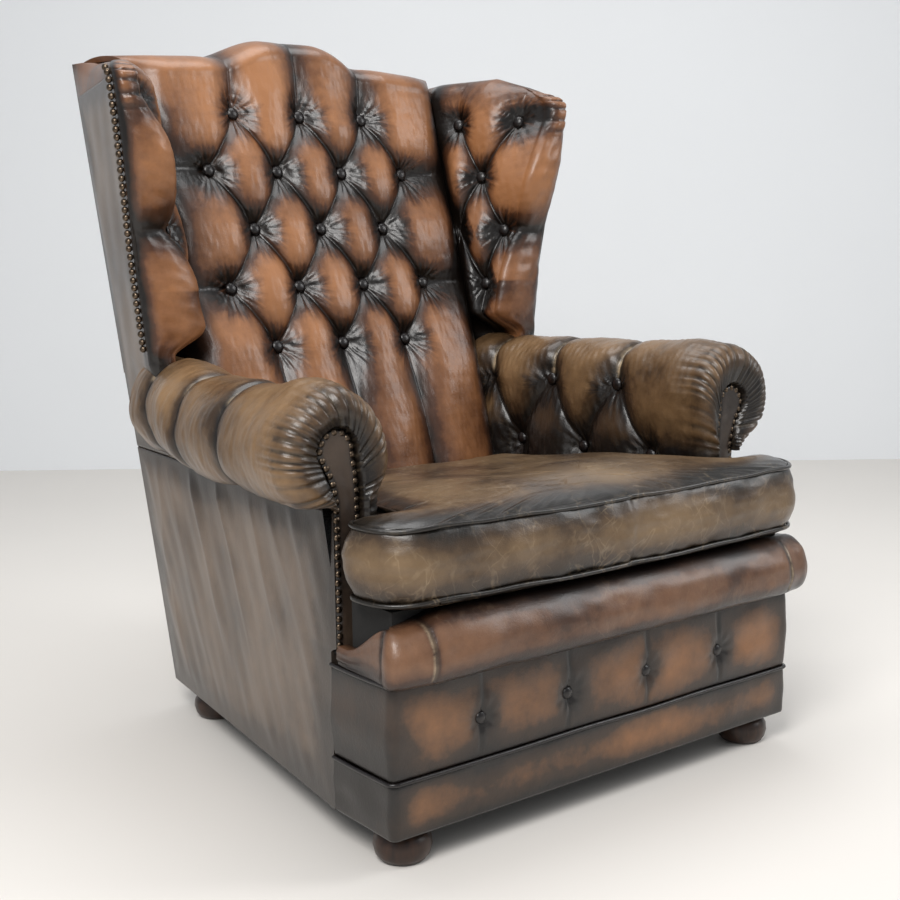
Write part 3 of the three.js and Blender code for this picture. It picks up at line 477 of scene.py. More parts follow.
def wing_cover(side):
    seed = 21 if side == "right" else 22
    mirror = sign_of(side)
    low_z = np.linspace(548.0, WING_LOW_ROW, int(1.4 * CELLS))[:-1]
    row_z = WING_LOW_ROW + np.arange(0, int(3.25 * CELLS) + 1) / CELLS * ROW_HEIGHT
    turns = np.linspace(0.0, math.pi / 2.0, CELLS + 1)
    z_rows = np.concatenate([low_z, row_z, WING_SHOULDER + WING_ROLL * np.sin(turns)])
    thin = np.concatenate([np.ones(len(low_z) + len(row_z)), np.cos(turns)])[:, None]
    z = z_rows[:, None]
    nail_y = wing_nail_y(z)
    inner_y = nail_y + WING_NAIL_BAND
    edge_y = button_plane(z)

    def inner_face(y, height_z):
        a_free, b_free = wing_steps(y, height_z)
        a = np.clip(a_free, -1.0, 1.0)
        b = np.clip(b_free, 0.0, WING_ROWS - 1.0) + 0 * a
        height, pillow = tuft(a, b)
        ease = 0.45 * smooth(-b_free, 0.1, 1.0) + 0.35 * smooth(b_free, 3.1, 3.9)
        height = mix(height, 1.0, ease)
        rounding = 1.0 - (1.0 - np.clip((edge_y - y) / 46.0, 0.0, 1.0)) ** 2.2
        way = nearest_button(a, b, (-1, 1), (0, 3), a_free, b_free, wing_pitch(height_z) / 2, ROW_HEIGHT)
        lumps = ripple_noise(y, height_z + 0 * y, 80.0, seed) * 1.5 * pillow
        fine = ripple_noise(y * 1.3, height_z + 0 * y, 15.0, seed + 5) * 0.3
        depth = WING_TUFT * rounding * (0.10 + 0.90 * height) + rounding * (lumps + fine)
        depth = depth + rounding * (puckers(*way, seed=seed) - 6.0 * bell(way[2], 14.0))
        lines = crease_lines(a, b, wing_pitch(height_z))
        depth = depth - 1.8 * rounding * lines * (1.0 - ease)
        return depth, pillow, way, a, b

    columns_y = []
    near = np.maximum(wing_column(z) - wing_pitch(z) / 2.0, inner_y + 2.0)
    far = np.minimum(wing_column(z) + wing_pitch(z) / 2.0, edge_y - 3.0)
    parts = ((inner_y, near, CELLS // 2), (near, far, 2 * CELLS), (far, edge_y, CELLS // 2))
    for start, end, count in parts:
        columns_y.append(mix(start, end, np.arange(count)[None, :] / count))
    face_y = np.concatenate(columns_y + [edge_y], axis=1)
    depth, pillow, way, a, b = inner_face(face_y, z)
    tucked = smooth((632.0 - z) / 42.0)
    face_x = mix(wing_plane_x(face_y, z) + WING_NORMAL[0] * depth, roll_axis_x(face_y) + 6.0, tucked)
    face = np.stack([face_x, face_y + WING_NORMAL[1] * depth, z - 4.0 * pillow * thin], axis=-1)

    count = int(1.5 * CELLS)
    turn = np.arange(count)[None, :] / count * math.pi
    across = (1.0 - np.cos(turn)) / 2.0
    b_front = np.clip((z - WING_LOW_ROW) / ROW_HEIGHT, -1.0, WING_ROWS - 1.0)
    pleat_height, pleat_pillow = tuft(-1.0 + 0 * b_front, b_front)
    nose = smooth(z, 925.0, 950.0)
    tucks = 0.5 + 0.5 * np.cos((z - 940.0) / 19.0 * math.tau)
    pleat_height = mix(pleat_height, 1.0 - 0.55 * tucks ** 6, nose)
    pleat_pillow = mix(pleat_pillow, 1.0 - 0.85 * tucks ** 4, nose)
    pleat = 0.62 + 0.38 * pleat_height
    wrinkle = ripple_noise(turn * 30.0, z + 0 * turn, 22.0, seed + 9) * 0.9 * np.sin(turn)
    forward = (WING_FORWARD * pleat * np.sin(turn) ** 0.85 + wrinkle) * (0.35 + 0.65 * thin)
    nail_x = wing_x(nail_y, z)
    roll_x = mix(nail_x, face[:, :1, 0], across) + 3.0 * np.sin(turn) * (turn < math.pi / 2)
    roll_y = mix(nail_y, face[:, :1, 1], across) - forward
    roll = np.stack([roll_x, roll_y, z + 0 * turn], axis=-1)

    backward = np.arange(1, 7)[None, :] / 6.0
    back_y = mix(edge_y, rear_y(z), backward)
    back = np.stack([mix(junction(z), rear_x(z), backward), back_y, z + 0 * back_y], axis=-1)
    returning = np.arange(1, 12)[None, :] / 12.0
    outer_y = mix(rear_y(z), nail_y, returning)
    hidden = np.where(z < WING_SHOULDER, 4.8, 0.0)
    outer = np.stack([wing_x(outer_y, z) - hidden, outer_y, z + 0 * outer_y], axis=-1)
    points = np.concatenate([roll, face, back, outer], axis=1)

    outer_line = wing_x(points[..., 1], z)
    face_y_now = np.clip(points[..., 1], face[:, :1, 1], rear_y(z))
    order = np.concatenate([face, back], axis=1)
    inner_line = np.stack([
        np.interp(row_y, row[:, 1], row[:, 0]) for row_y, row in zip(face_y_now, order)])
    middle = (outer_line + inner_line) / 2.0
    points[..., 0] = mix(middle, points[..., 0], thin)
    kept = mix(0.5, 1.04, np.clip((points[..., 1] - 584.0) / WING_SLOPE[side], 0.0, 1.0))
    points[..., 2] -= np.maximum(z - WING_SHOULDER, 0.0) * (1.0 - kept)
    points = closed_round(points)

    total = points.shape[1]
    first = roll.shape[1]
    last = total - first - face.shape[1]

    def widen(values, front):
        front = np.broadcast_to(front, (len(z), first))
        return np.concatenate([front, values, np.repeat(values[:, -1:], last, axis=1)], axis=1)

    front_reach = np.hypot((b_front - np.round(b_front)) * ROW_HEIGHT, 30.0 + 0 * turn)
    reach = widen(way[2], mix(front_reach, way[2][:, :1], across))
    face_rub_and_shade = pillow ** 0.7 * smooth(way[2], 8.0, 52.0)
    face_rub_and_shade = mix(face_rub_and_shade, 0.8, 0.9 * smooth(z, WING_SHOULDER - 12.0, WING_SHOULDER + 12.0))
    # Painted shade: darker towards the back edge, in the corner where the wing meets the back.
    face_rub_and_shade = face_rub_and_shade * smooth(edge_y - face_y, -6.0, 40.0)
    # Painted shade: the front roll darkens towards the nails, on its outer side.
    roll_rub_and_shade = pleat_pillow ** 0.4 * smooth(turn, 0.0, 1.1) * np.ones_like(turn)
    rub = widen(face_rub_and_shade, mix(roll_rub_and_shade, face_rub_and_shade[:, :1], across ** 3))
    rub[:, -last + 1:] = 0.6
    spoke = np.stack([widen(part, 0.4) for part in np.moveaxis(spokes(*way[:3]), -1, 0)], axis=-1)
    folds = fold_lines(widen(a, -1.0), widen(b, b_front))
    points[..., 0] *= mirror
    marks = {"rub": rub, "spoke": spoke, "reach": reach / 100.0}
    return cover_from_grid("tufted_wing_" + side, points, marks, folds)


# Arms: a buttoned inside wall that rolls outward, gathered round the front facing

def facing_outline(grow):
    """The keyhole line of the facing, up its inner side, round the head and down the outside."""
    inner = FACING_INNER - grow
    outer = FACING_INNER + FACING_WIDTH + grow
    head = FACING_HEAD + grow
    neck = FACING_HEAD_Z - 2.6 * FACING_HEAD

    def bend(start, pull, end):
        t = np.linspace(0.0, 1.0, 14)[:, None]
        start, pull, end = (np.array(point) for point in (start, pull, end))
        return (1 - t) ** 2 * start + 2 * t * (1 - t) * pull + t ** 2 * end

    def on_head(angle):
        return [FACING_HEAD_X + head * math.cos(angle), FACING_HEAD_Z + head * math.sin(angle)]

    head_start = math.pi + 0.15
    head_end = -0.35
    low = [[inner, FACING_LOW], [inner, neck]]
    rise = bend([inner, neck], [inner + 1, FACING_HEAD_Z - 1.2 * FACING_HEAD], on_head(head_start))
    top = [on_head(angle) for angle in np.linspace(head_start, head_end, 40)]
    fall = bend(on_head(head_end), [outer + 1, FACING_HEAD_Z - 1.4 * FACING_HEAD], [outer, neck])
    return np.concatenate([low, rise[1:], np.array(top)[1:], fall[1:], [[outer, FACING_LOW]]])


def along_line(line, places):
    """Points on a line at places from 0 to 1 of its length."""
    lengths = np.concatenate([[0.0], np.cumsum(np.linalg.norm(np.diff(line, axis=0), axis=1))])
    lengths /= lengths[-1]
    return np.stack([np.interp(places, lengths, line[:, k]) for k in range(line.shape[1])], axis=-1)


def arm_cover(side):
    seed = 31 if side == "right" else 32
    plain_y = np.linspace(ARM_FACE + 30.0, ARM_FIRST - ARM_HALF_PITCH, int(1.3 * CELLS))[:-1]
    tufted_y = ARM_FIRST - ARM_HALF_PITCH + np.arange(0, int(5.9 * CELLS) + 1) / CELLS * ARM_HALF_PITCH
    y = np.concatenate([plain_y, tufted_y])[None, :]
    wall_b = np.arange(-int(1.4 * CELLS), int(0.84 * CELLS) + 1) / CELLS
    wall_z = (ARM_LOWER + wall_b * ARM_ROW)[:, None]
    wall_step = np.clip(wall_b, 0.0, 1.0)[:, None] - 1.0
    turns = np.linspace(math.pi, -math.pi / 2.0, int(4.6 * CELLS))[1:, None]
    axis = roll_axis_x(y)

    a_free = (y - ARM_FIRST) / ARM_HALF_PITCH
    a = np.maximum(a_free, -1.0)
    wall_height, wall_pillow = tuft(a, wall_step)
    below = smooth(ARM_LOWER - wall_z, 0.0, 90.0)
    wall_height = mix(wall_height, 1.0, 0.4 * below)
    front_plain = smooth(-1.0 - a_free, 0.0, 0.6)
    wall_height = mix(wall_height, 1.0, 0.7 * front_plain)
    over_height, over_pillow = tuft(a, 0.0 * turns)
    over = np.clip((math.pi - turns) / (0.78 * math.pi), 0.0, 1.0)
    channel = 1.0 - np.abs(a - 2.0 * np.round(a / 2.0))
    crisp = smooth(over, 0.12, 0.36)
    over_height = mix(over_height, 1.0 - 0.85 * channel ** 8, crisp)
    over_pillow = mix(over_pillow, 1.0 - channel ** 5, crisp)
    depth = mix(ARM_TUFT, ARM_TUFT_OUTSIDE, smooth(over))
    crest_mark = 1.0 + 0.12 * np.sin(turns) ** 2

    arc_mm = (math.pi - turns) * ROLL_RADIUS
    along_z = np.concatenate([wall_z - ARM_UPPER + 0 * y, arc_mm + 0 * y])
    way_wall = nearest_button(
        a, wall_step, (-1, 99), (-1, 0), a_free + 0 * wall_z,
        wall_b[:, None] - 1.0 + 0 * y, ARM_HALF_PITCH, ARM_ROW)
    way_arc = nearest_button(
        a, 0.0 * turns, (-1, 99), (-1, 0), a_free + 0 * turns,
        (arc_mm + 10.0) / ARM_ROW + 0 * y, ARM_HALF_PITCH, ARM_ROW)
    way = [np.concatenate([wall, arc]) for wall, arc in zip(way_wall, way_arc)]
    lumps = ripple_noise(y + 0 * along_z, along_z, 85.0, seed) * 1.6
    fine = ripple_noise(y * 1.5 + 0 * along_z, along_z * 0.7, 19.0, seed + 3) * 0.45
    bulk = lumps + fine + puckers(*way, seed=seed) - 6.0 * bell(way[2], 14.0)

    wall_out = ROLL_RADIUS - ARM_TUFT * 0.9 * (1.0 - wall_height)
    arc_out = ROLL_RADIUS - depth * 0.9 * (1.0 - over_height) / crest_mark
    heel = smooth((y - WING_FRONT + 70.0) / 70.0) * 14.0
    arc_out = arc_out - heel * np.maximum(0.0, np.cos(turns))
    out = np.concatenate([wall_out, arc_out]) + bulk
    turn_all = np.concatenate([np.full((len(wall_b), 1), math.pi), turns])
    base_z = np.concatenate([wall_z, np.full((len(turns), 1), ROLL_Z)])

    angle_mm = np.concatenate([wall_z - ROLL_Z, (math.pi - turns) * ROLL_RADIUS])
    lobes = angle_mm / 12.5 + 0.7 * np.sin(angle_mm / 31.0 + seed) + 0.4 * np.sin(angle_mm / 13.0)
    gather = (0.5 + 0.5 * np.cos(lobes * math.tau)) ** 5
    strength = 0.45 + 0.55 * (0.5 + 0.5 * np.sin(angle_mm / 17.0 + 2.0 * seed))
    gather = gather * strength * smooth(angle_mm, -150.0, -20.0)
    fade = smooth(ARM_FACE + 78.0 - y, 0.0, 60.0)
    out = out - 4.4 * gather * fade
    inner_side = smooth(angle_mm, -75.0, -25.0) * (1.0 - smooth(angle_mm, 90.0, 165.0))
    out = out + ARM_FULLER[side] * inner_side * bell(y - 165.0, 62.0)
    x = axis + out * np.cos(turn_all)
    z = base_z + out * np.sin(turn_all)
    settled = ARM_SETTLED[side] * (1.0 - smooth(y, 420.0, 560.0)) * smooth(angle_mm, -70.0, 20.0)
    settled = settled * (1.0 - smooth(angle_mm, 300.0, 348.0))
    z = z - settled
    body = np.stack([x, y + 0 * x, z], axis=-1)

    rim = body[:, 0, [0, 2]]
    steps = np.concatenate([[0.0], np.cumsum(np.linalg.norm(np.diff(rim, axis=0), axis=1))])
    start = np.searchsorted(wall_z[:, 0], ARM_UNDER)
    places = np.clip((steps - steps[start]) / (steps[-1] - steps[start]), 0.0, 1.0)
    edge = facing_outline(1.0)
    inner_from = np.array([[edge[0, 0], ARM_UNDER]])
    head_line = np.concatenate([inner_from, edge[2:-1], [[edge[-1, 0], ARM_UNDER]]])
    target = along_line(head_line, places)
    target[:start, 1] = wall_z[:start, 0]
    target[:start, 0] = edge[0, 0]
    toward = target - rim
    width = np.linalg.norm(toward, axis=1)[:, None]
    rows_in = int(1.2 * CELLS)
    w = np.linspace(1.0, 0.0, rows_in, endpoint=False)[None, :]
    curve = np.minimum(28.0, 0.8 * width)
    inset = np.where(w < 0.6, curve * (1.0 - np.cos(w / 0.6 * math.pi / 2.0)),
                     mix(curve, width, (w - 0.6) / 0.4))
    bowed = np.clip(1.0 - inset / curve, 0.0, 1.0)
    face_y = ARM_FACE - 3.0 + 33.0 * (1.0 - np.sqrt(np.maximum(0.0, 1.0 - bowed ** 2)))
    sink = smooth((inset - curve) / np.maximum(width - curve, 1.0), 0.0, 1.0)
    face_y = face_y + 7.0 * sink + 14.0 * smooth(w, 0.93, 1.0)
    face_gather = 6.0 * gather * smooth(w, 0.0, 0.5)
    face_y = face_y + face_gather * (w < 0.93)
    share = inset / np.maximum(width, 1e-3)
    front = np.stack([
        rim[:, :1] + toward[:, :1] * share, face_y, rim[:, 1:] + toward[:, 1:] * share], axis=-1)
    skin = np.concatenate([front, body], axis=1)

    all_y = skin[0, :, 1].copy()
    all_y[:rows_in] = FACING_FRONT + 13.0
    backing = side_x(all_y, ARM_UNDER) - PANEL - 2 * FIT - FACING_WIDTH
    under = np.stack([side_x(all_y, ARM_UNDER) + 1.0, all_y, np.full_like(all_y, ARM_UNDER)], axis=-1)
    corner = np.stack([backing, all_y, np.full_like(all_y, ARM_UNDER)], axis=-1)
    foot = np.stack([backing, all_y, np.full_like(all_y, wall_z[0, 0])], axis=-1)
    points = closed_ring(np.concatenate([skin, under[None], corner[None], foot[None]]))
    tail = len(points) - len(skin)

    def widen(values, front_value=None):
        if front_value is None:
            front_value = values[:, :1]
        front_value = np.broadcast_to(front_value, (len(values), rows_in))
        return grow_rows(np.concatenate([front_value, values], axis=1), tail)

    pillow = np.concatenate([wall_pillow, over_pillow + 0 * turns])
    pillow = mix(pillow, 1.0, np.concatenate([front_plain + 0 * wall_z, 0 * over_pillow + 0 * turns]))
    rub = pillow ** 0.7 * smooth(way[2], 6.0, 50.0)
    # Painted shade: darker towards the foot of the inside wall, where it meets the cushion.
    rub = rub * smooth(base_z + out * np.sin(turn_all), 400.0, 470.0)
    channel_line = bell((1.0 - channel) * ARM_HALF_PITCH, 3.0) * np.concatenate(
        [0 * wall_z, smooth(over, 0.08, 0.2) * (1 - smooth(over, 0.94, 1.0))])
    near_face = smooth(ARM_FACE + 60.0 - y, 0.0, 60.0) + 0 * rub
    # Painted shade: the front darkens towards the facing, into the recess beside it; the gathers darken it
    # too.
    facing_rub_and_shade = mix(0.9 * rub[:, :1], 0.0, 0.9 * smooth(w, 0.4, 0.95)) * (1.0 - 0.6 * gather)
    gather_mark = widen(gather * near_face, gather + 0 * w)
    marks = {
        "rub": widen(rub * (1.0 - 0.1 * near_face) * (1.0 - 0.6 * gather * near_face), facing_rub_and_shade),
        "spoke": np.stack([widen(part) for part in np.moveaxis(spokes(*way[:3]), -1, 0)], axis=-1),
        "reach": widen(way[2]) / 100.0,
        "crease": np.clip(widen(channel_line) + 0.2 * gather_mark, 0.0, 1.0),
    }
    b_all = np.concatenate([wall_step + 0 * y, 0 * turns + 0 * y])
    folds = fold_lines(widen(a + 0 * b_all), widen(b_all))
    points[..., 0] *= sign_of(side)
    return cover_from_grid("scroll_arm_" + side, points, marks, folds)


def facing_cover(side):
    """The narrow padded strip that closes the front of an arm."""
    line = facing_outline(0.0)
    inner = along_line(line, np.linspace(0.0, 0.5, 5 * CELLS))
    outer = along_line(line, np.linspace(1.0, 0.5, 5 * CELLS))
    across = np.linspace(0.0, 1.0, CELLS)[None, :, None]
    flat = mix(inner[:, None, :], outer[:, None, :], across)
    rim = 1.0 - np.abs(2.0 * across[..., 0] - 1.0)
    width = np.linalg.norm(outer - inner, axis=1)[:, None]
    puff = 3.0 * (1.0 - (1.0 - np.minimum(1.0, rim * width / 18.0)) ** 2)
    wrinkle = ripple_noise(flat[..., 0] * 1.2, flat[..., 1], 24.0, 41) * 0.35
    y = FACING_FRONT + 2.0 - puff - wrinkle * smooth(rim, 0.0, 0.3)
    points = np.stack([flat[..., 0] * sign_of(side), y, flat[..., 1]], axis=-1)
    # Painted shade: darker towards both edges of the strip, where it meets the arm cover at the nails.
    marks = {"rub": smooth(rim * width, 2.0, 20.0) * 0.75}
    return outside_cover("arm_facing_cover_" + side, points, (1, -FACING_THICKNESS), marks)


# Loose cushion

CUSHION_HALF = 374.0
CUSHION_FRONT = -26.0
CUSHION_EAR_BACK = 77.0
CUSHION_LOW = 334.0
CUSHION_HIGH = 422.0
CUSHION_CROWN = 22.0
CUSHION_FALL = 38.0
CUSHION_ROUND = 2600.0
CUSHION_CENTRE = (0.0, 60.0)
PIPING = 3.0
CUSHION_ASIDE = 5.0
CUSHION_LIFT = 3.0


def arc(centre, radius, start, end, count):
    turns = np.radians(np.linspace(start, end, count))
    return [[centre[0] + radius * math.cos(t), centre[1] + radius * math.sin(t)] for t in turns]


def cushion_outline(count):
    back = button_plane(CUSHION_LOW) - BACK_TUFT - 3.0
    half = CUSHION_HALF
    corner = 70.0
    ear = 24.0
    notch = 16.0

    def neck(y):
        return roll_axis_x(y) - ROLL_RADIUS - 5.5

    def front(x):
        return CUSHION_FRONT + 13.0 * (x / half) ** 2

    notch_x = neck(CUSHION_EAR_BACK) + notch
    right = [[x, front(x)] for x in np.linspace(0.0, half - corner, 12)]
    right += arc((half - corner, front(half - corner) + corner), corner, -90, 0, 14)
    right += arc((half - ear, CUSHION_EAR_BACK - ear), ear, 0, 90, 14)
    right += arc((notch_x, CUSHION_EAR_BACK + notch), notch, 270, 180, 8)
    right += [[neck(y), y] for y in np.linspace(CUSHION_EAR_BACK + notch, back - corner, 12)[1:]]
    right += arc((neck(back) - corner, back - corner), corner, 0, 90, 14)[1:]
    right += [[0.0, back]]
    left = [[-x, y] for x, y in right[1:-1]][::-1]
    line = np.array(right + left + right[:1])
    return along_line(line, np.arange(count) / count) + np.array([[CUSHION_ASIDE, 0.0]])


def inset_from(points, outline):
    """Distance from each point to the nearest place on the outline."""
    flat = points.reshape(-1, 2)
    result = np.empty(len(flat))
    for start in range(0, len(flat), 4000):
        chunk = flat[start:start + 4000, None, :]
        result[start:start + 4000] = np.sqrt(((chunk - outline[None]) ** 2).sum(-1)).min(1)
    return result.reshape(points.shape[:-1])


def outward_from(outline):
    """Unit steps out of a closed outline that runs from the front towards the right."""
    ahead = np.roll(outline, -1, axis=0) - np.roll(outline, 1, axis=0)
    ahead /= np.linalg.norm(ahead, axis=1)[:, None]
    return np.stack([ahead[:, 1], -ahead[:, 0]], axis=-1)


def cushion_fall(y):
    """How far the cushion's top slopes down towards the back."""
    return CUSHION_FALL * smooth(y, 60.0, 540.0)


def cushion_cover():
    count = 20 * CELLS
    outline = cushion_outline(count)
    centre = np.array(CUSHION_CENTRE)
    outward = outward_from(outline)
    cycle = (np.arange(count) / count * CUSHION_ROUND)[None, :]

    near_rings = 1.0 - np.linspace(0.0, 0.2, CELLS)
    far_rings = np.linspace(0.8, 0.0, int(1.6 * CELLS))[1:]
    shares = np.concatenate([near_rings[1:], far_rings])[:, None, None]
    flat = centre + (outline[None] - centre) * shares
    inset = inset_from(flat, outline)
    crown = 1.0 - (1.0 - np.clip(inset / 150.0, 0.0, 1.0)) ** 2.4
    lip = 1.0 - (1.0 - np.clip(inset / 16.0, 0.0, 1.0)) ** 2
    pucker = ripple_noise(cycle + 0 * inset, inset * 0.25, 30.0, 51) * bell(inset - 14.0, 18.0)
    dip = 9.0 * bell(np.hypot((flat[..., 0] + 20.0) / 1.4, flat[..., 1] - 300.0), 150.0)
    waves = ripple_noise(flat[..., 0] * 0.7, flat[..., 1], 120.0, 52) * 1.8 * smooth(inset, 10.0, 60.0)
    creases = 1.0 - np.abs(ripple_noise(flat[..., 0] * 0.6, flat[..., 1] * 1.3, 55.0, 53))
    creases = -1.3 * smooth(creases, 0.86, 1.0) * smooth(inset, 14.0, 60.0)
    top_z = CUSHION_HIGH + 3.0 * lip + (CUSHION_CROWN - 3.0) * crown + 0.8 * pucker + waves - dip + creases
    top_z = top_z - cushion_fall(flat[..., 1])
    top = np.concatenate([flat, top_z[..., None]], axis=-1)

    under = np.sqrt(1.0 - (1.0 - np.clip(inset / 20.0, 0.0, 1.0)) ** 2)
    bottom_z = CUSHION_LOW + CUSHION_LIFT * smooth(170.0 - flat[..., 1], 0.0, 90.0) - 13.0 * under
    bottom_z = np.maximum(bottom_z, DECK_TOP + 1.0)
    bottom = np.concatenate([flat, bottom_z[..., None]], axis=-1)[::-1]

    levels = np.linspace(0.0, 1.0, int(1.2 * CELLS))[:, None]
    belly = 13.0 * np.sin(math.pi * levels) ** 0.7
    seam_pull = 1.4 * ripple_noise(cycle, 0 * levels, 34.0, 54) * (1.0 - np.sin(math.pi * levels))
    drape = 2.0 * ripple_noise(cycle * 0.8, levels * 60.0, 70.0, 55) * np.sin(math.pi * levels)
    wrinkle = 0.7 * ripple_noise(cycle * 0.6, levels * 120.0, 22.0, 56) * np.sin(math.pi * levels)
    out = belly + seam_pull + drape + wrinkle - 3.0
    wall_xy = outline[None] + outward[None] * out[..., None]
    high_z = CUSHION_HIGH - cushion_fall(outline[None, :, 1])
    wall_z = mix(CUSHION_LOW, high_z, levels)
    wall = np.concatenate([wall_xy, wall_z[..., None]], axis=-1)
    points = closed_round(np.concatenate([bottom, wall, top]))
    # Painted shade: the underside stays dark, the wall darkens towards both pipings, and the top towards its
    # edge.
    wall_rub_and_shade = np.sin(math.pi * levels) ** 0.8 + 0 * cycle
    rub = closed_round(np.concatenate([0.2 + 0 * bottom[..., 0], wall_rub_and_shade, smooth(inset, 0.0, 55.0)]))
    return cover_from_grid("loose_cushion", points, {"rub": rub}, seal=False)


def cushion_piping(name, z):
    count = 16 * CELLS
    outline = cushion_outline(count)
    cycle = np.arange(count) / count * CUSHION_ROUND
    wander = ripple_noise(cycle, 0 * cycle, 140.0, 57) * 1.2
    if z > CUSHION_LOW + CUSHION_LIFT:
        wander = wander - cushion_fall(outline[:, 1])
    path = np.concatenate([outline, (z + wander)[:, None]], axis=-1)
    path[:, :2] += outward_from(outline)
    return tube(name, path, PIPING, looped=True)


# Front border: lip roll, buttoned panel, plinth and the pipings between them

APRON_BUTTONS = (-224.0, -80.0, 64.0, 208.0)
APRON_BUTTON_Z = 170.0
LIP_REACH = 110.3
LIP_DEPTH = 44.0
LIP_RETURN = 5.0
LIP_CORNER_TOP = 306.0
LIP_END_TOP = 262.0
PATCH_WIDTH = 42.0
PATCH_SEAM = 2.2
WELT = 2.7
WELT_SEAM = 1.6
BORDER_STEP = 3.0
BORDER_THICKNESS = 13.5


def border_path(reach):
    """The base's front edge in plan, from the right return round to the left one."""
    half = BASE_HALF
    r = CORNER_RADIUS
    line = [[half, reach]]
    line += arc((half - r, r), r, 0, -90, 12)
    line += arc((r - half, r), r, -90, -180, 12)
    line += [[-half, reach]]
    line = np.array(line)
    length = np.linalg.norm(np.diff(line, axis=0), axis=1).sum()
    path = along_line(line, np.linspace(0.0, 1.0, int(length / BORDER_STEP)))
    ahead = np.gradient(path, axis=0)
    ahead /= np.linalg.norm(ahead, axis=1)[:, None]
    return path, np.stack([-ahead[:, 1], ahead[:, 0]], axis=-1)


def border_cover(name, reach, section, marks):
    """A skin swept along the border: section gives rows of (out, height) and backing heights."""
    path, outward = border_path(reach)
    out, z, backing = section(path)
    rows = [np.concatenate([path + outward * o[:, None], h[:, None]], axis=-1) for o, h in zip(out, z)]
    inner = path - outward * BORDER_THICKNESS
    behind = [np.column_stack([inner, np.broadcast_to(h, len(path))]) for h in backing]
    points = closed_ring(np.stack(rows + behind))
    tail = len(points) - len(rows)
    given = {mark: grow_rows(values, tail) for mark, values in marks(path, z).items()}
    return cover_from_grid(name, points, given)


def lip_section(path):
    bottom = APRON_TOP + WELT_SEAM
    count = int(1.6 * CELLS)
    turn = np.linspace(-0.5 * math.pi, 0.5 * math.pi, count)[:, None]
    side = mix(1.0, 0.7, smooth(np.abs(path[:, 0]), BASE_HALF - 60.0, BASE_HALF - 4.0))
    side = mix(side, LIP_RETURN / LIP_DEPTH, smooth(path[:, 1], 0.0, CORNER_RADIUS))
    side = side * mix(1.0, 0.4, smooth(path[:, 1], 60.0, 115.0))
    cycle = path[None, :, 0] - path[None, :, 1] * np.sign(path[None, :, 0])
    depth = LIP_DEPTH * side[None, :]
    swell = np.cos(turn) ** 0.75
    sag = 0.12 * np.cos(turn)
    lumps = ripple_noise(cycle, turn * 30.0, 110.0, 61) * 1.6 * swell
    fine = ripple_noise(cycle * 0.35, turn * 26.0, 17.0, 62) * 0.5 * swell
    gathers = np.cos(cycle / 9.0) * 0.9 * smooth(np.abs(cycle), 330.0, 390.0) * swell
    seams = sum(bell(line, PATCH_SEAM) for line in patch_lines(path))
    out = swell * depth - 1.0 + lumps + fine + gathers - 2.2 * seams * swell
    corner_top = np.where(path[:, 0] < 0.0, LIP_CORNER_TOP, DECK_TOP - 4.0)
    top = mix(DECK_TOP, corner_top, smooth(np.abs(path[:, 0]), BASE_HALF - 90.0, BASE_HALF - 5.0))
    top = mix(top, LIP_END_TOP, smooth(path[:, 1], 0.0, 95.0))
    z = mix(bottom, top[None, :], 0.5 + 0.5 * np.sin(turn) - sag + 0 * cycle)
    z = np.clip(z, bottom - 1.0, DECK_TOP)
    return out, z, (top, bottom)


def patch_lines(path):
    """How far each place is from the two seams of the corner patch, in millimetres."""
    on_front = np.where(path[:, 1] < CORNER_RADIUS, BASE_HALF - np.abs(path[:, 0]) - PATCH_WIDTH, 99.0)
    return on_front[None, :], (path[:, 1] - CORNER_RADIUS - 1.0)[None, :]


def lip_marks(path, z):
    height = (z - APRON_TOP) / (DECK_TOP - APRON_TOP)
    # Painted shade: darker at the bottom of the roll and on its top under the cushion.
    rub = smooth(height, 0.0, 0.35) * (1.0 - 0.9 * smooth(height, 0.72, 1.0))
    front_line, side_line = patch_lines(path)
    dark = bell(front_line, 5.0) + bell(side_line, 5.0)
    pale = bell(front_line + 2.5, 1.6) * smooth(height, 0.05, 0.2) * (1.0 - smooth(height, 0.75, 0.9))
    return {"rub": rub * 0.8 * (1.0 - 0.8 * np.minimum(dark, 1.0)), "crease": pale}


def apron_section(path):
    low = PLINTH_TOP + WELT_SEAM
    high = APRON_TOP - WELT_SEAM
    rows = np.linspace(0.0, 1.0, int(1.8 * CELLS))[:, None]
    z = mix(low, high, rows) + 0 * path[None, :, 0]
    x = path[None, :, 0]
    on_front = (path[None, :, 1] < CORNER_RADIUS).astype(float)
    puff = 4.0 * np.sin(math.pi * rows) ** 0.6
    dent = np.zeros_like(z)
    for number, at in enumerate(APRON_BUTTONS):
        away = x - at
        up = z - APRON_BUTTON_Z
        reach = np.hypot(away, up)
        dent += 6.0 * bell(reach, 15.0)
        line = 2.4 * bell(away - 3.0 * np.sin(up / 30.0 + number), 2.4) * np.sin(math.pi * rows) ** 0.4
        dent += line
        angle = np.arctan2(up, away)
        dent += 0.6 * np.sin(9.0 * angle + number) * bell(reach - 20.0, 10.0)
    waves = ripple_noise(x, z * 1.5, 60.0, 63) * 0.9 * np.sin(math.pi * rows)
    return puff - on_front * dent - 1.5 + waves, z, (high, low)


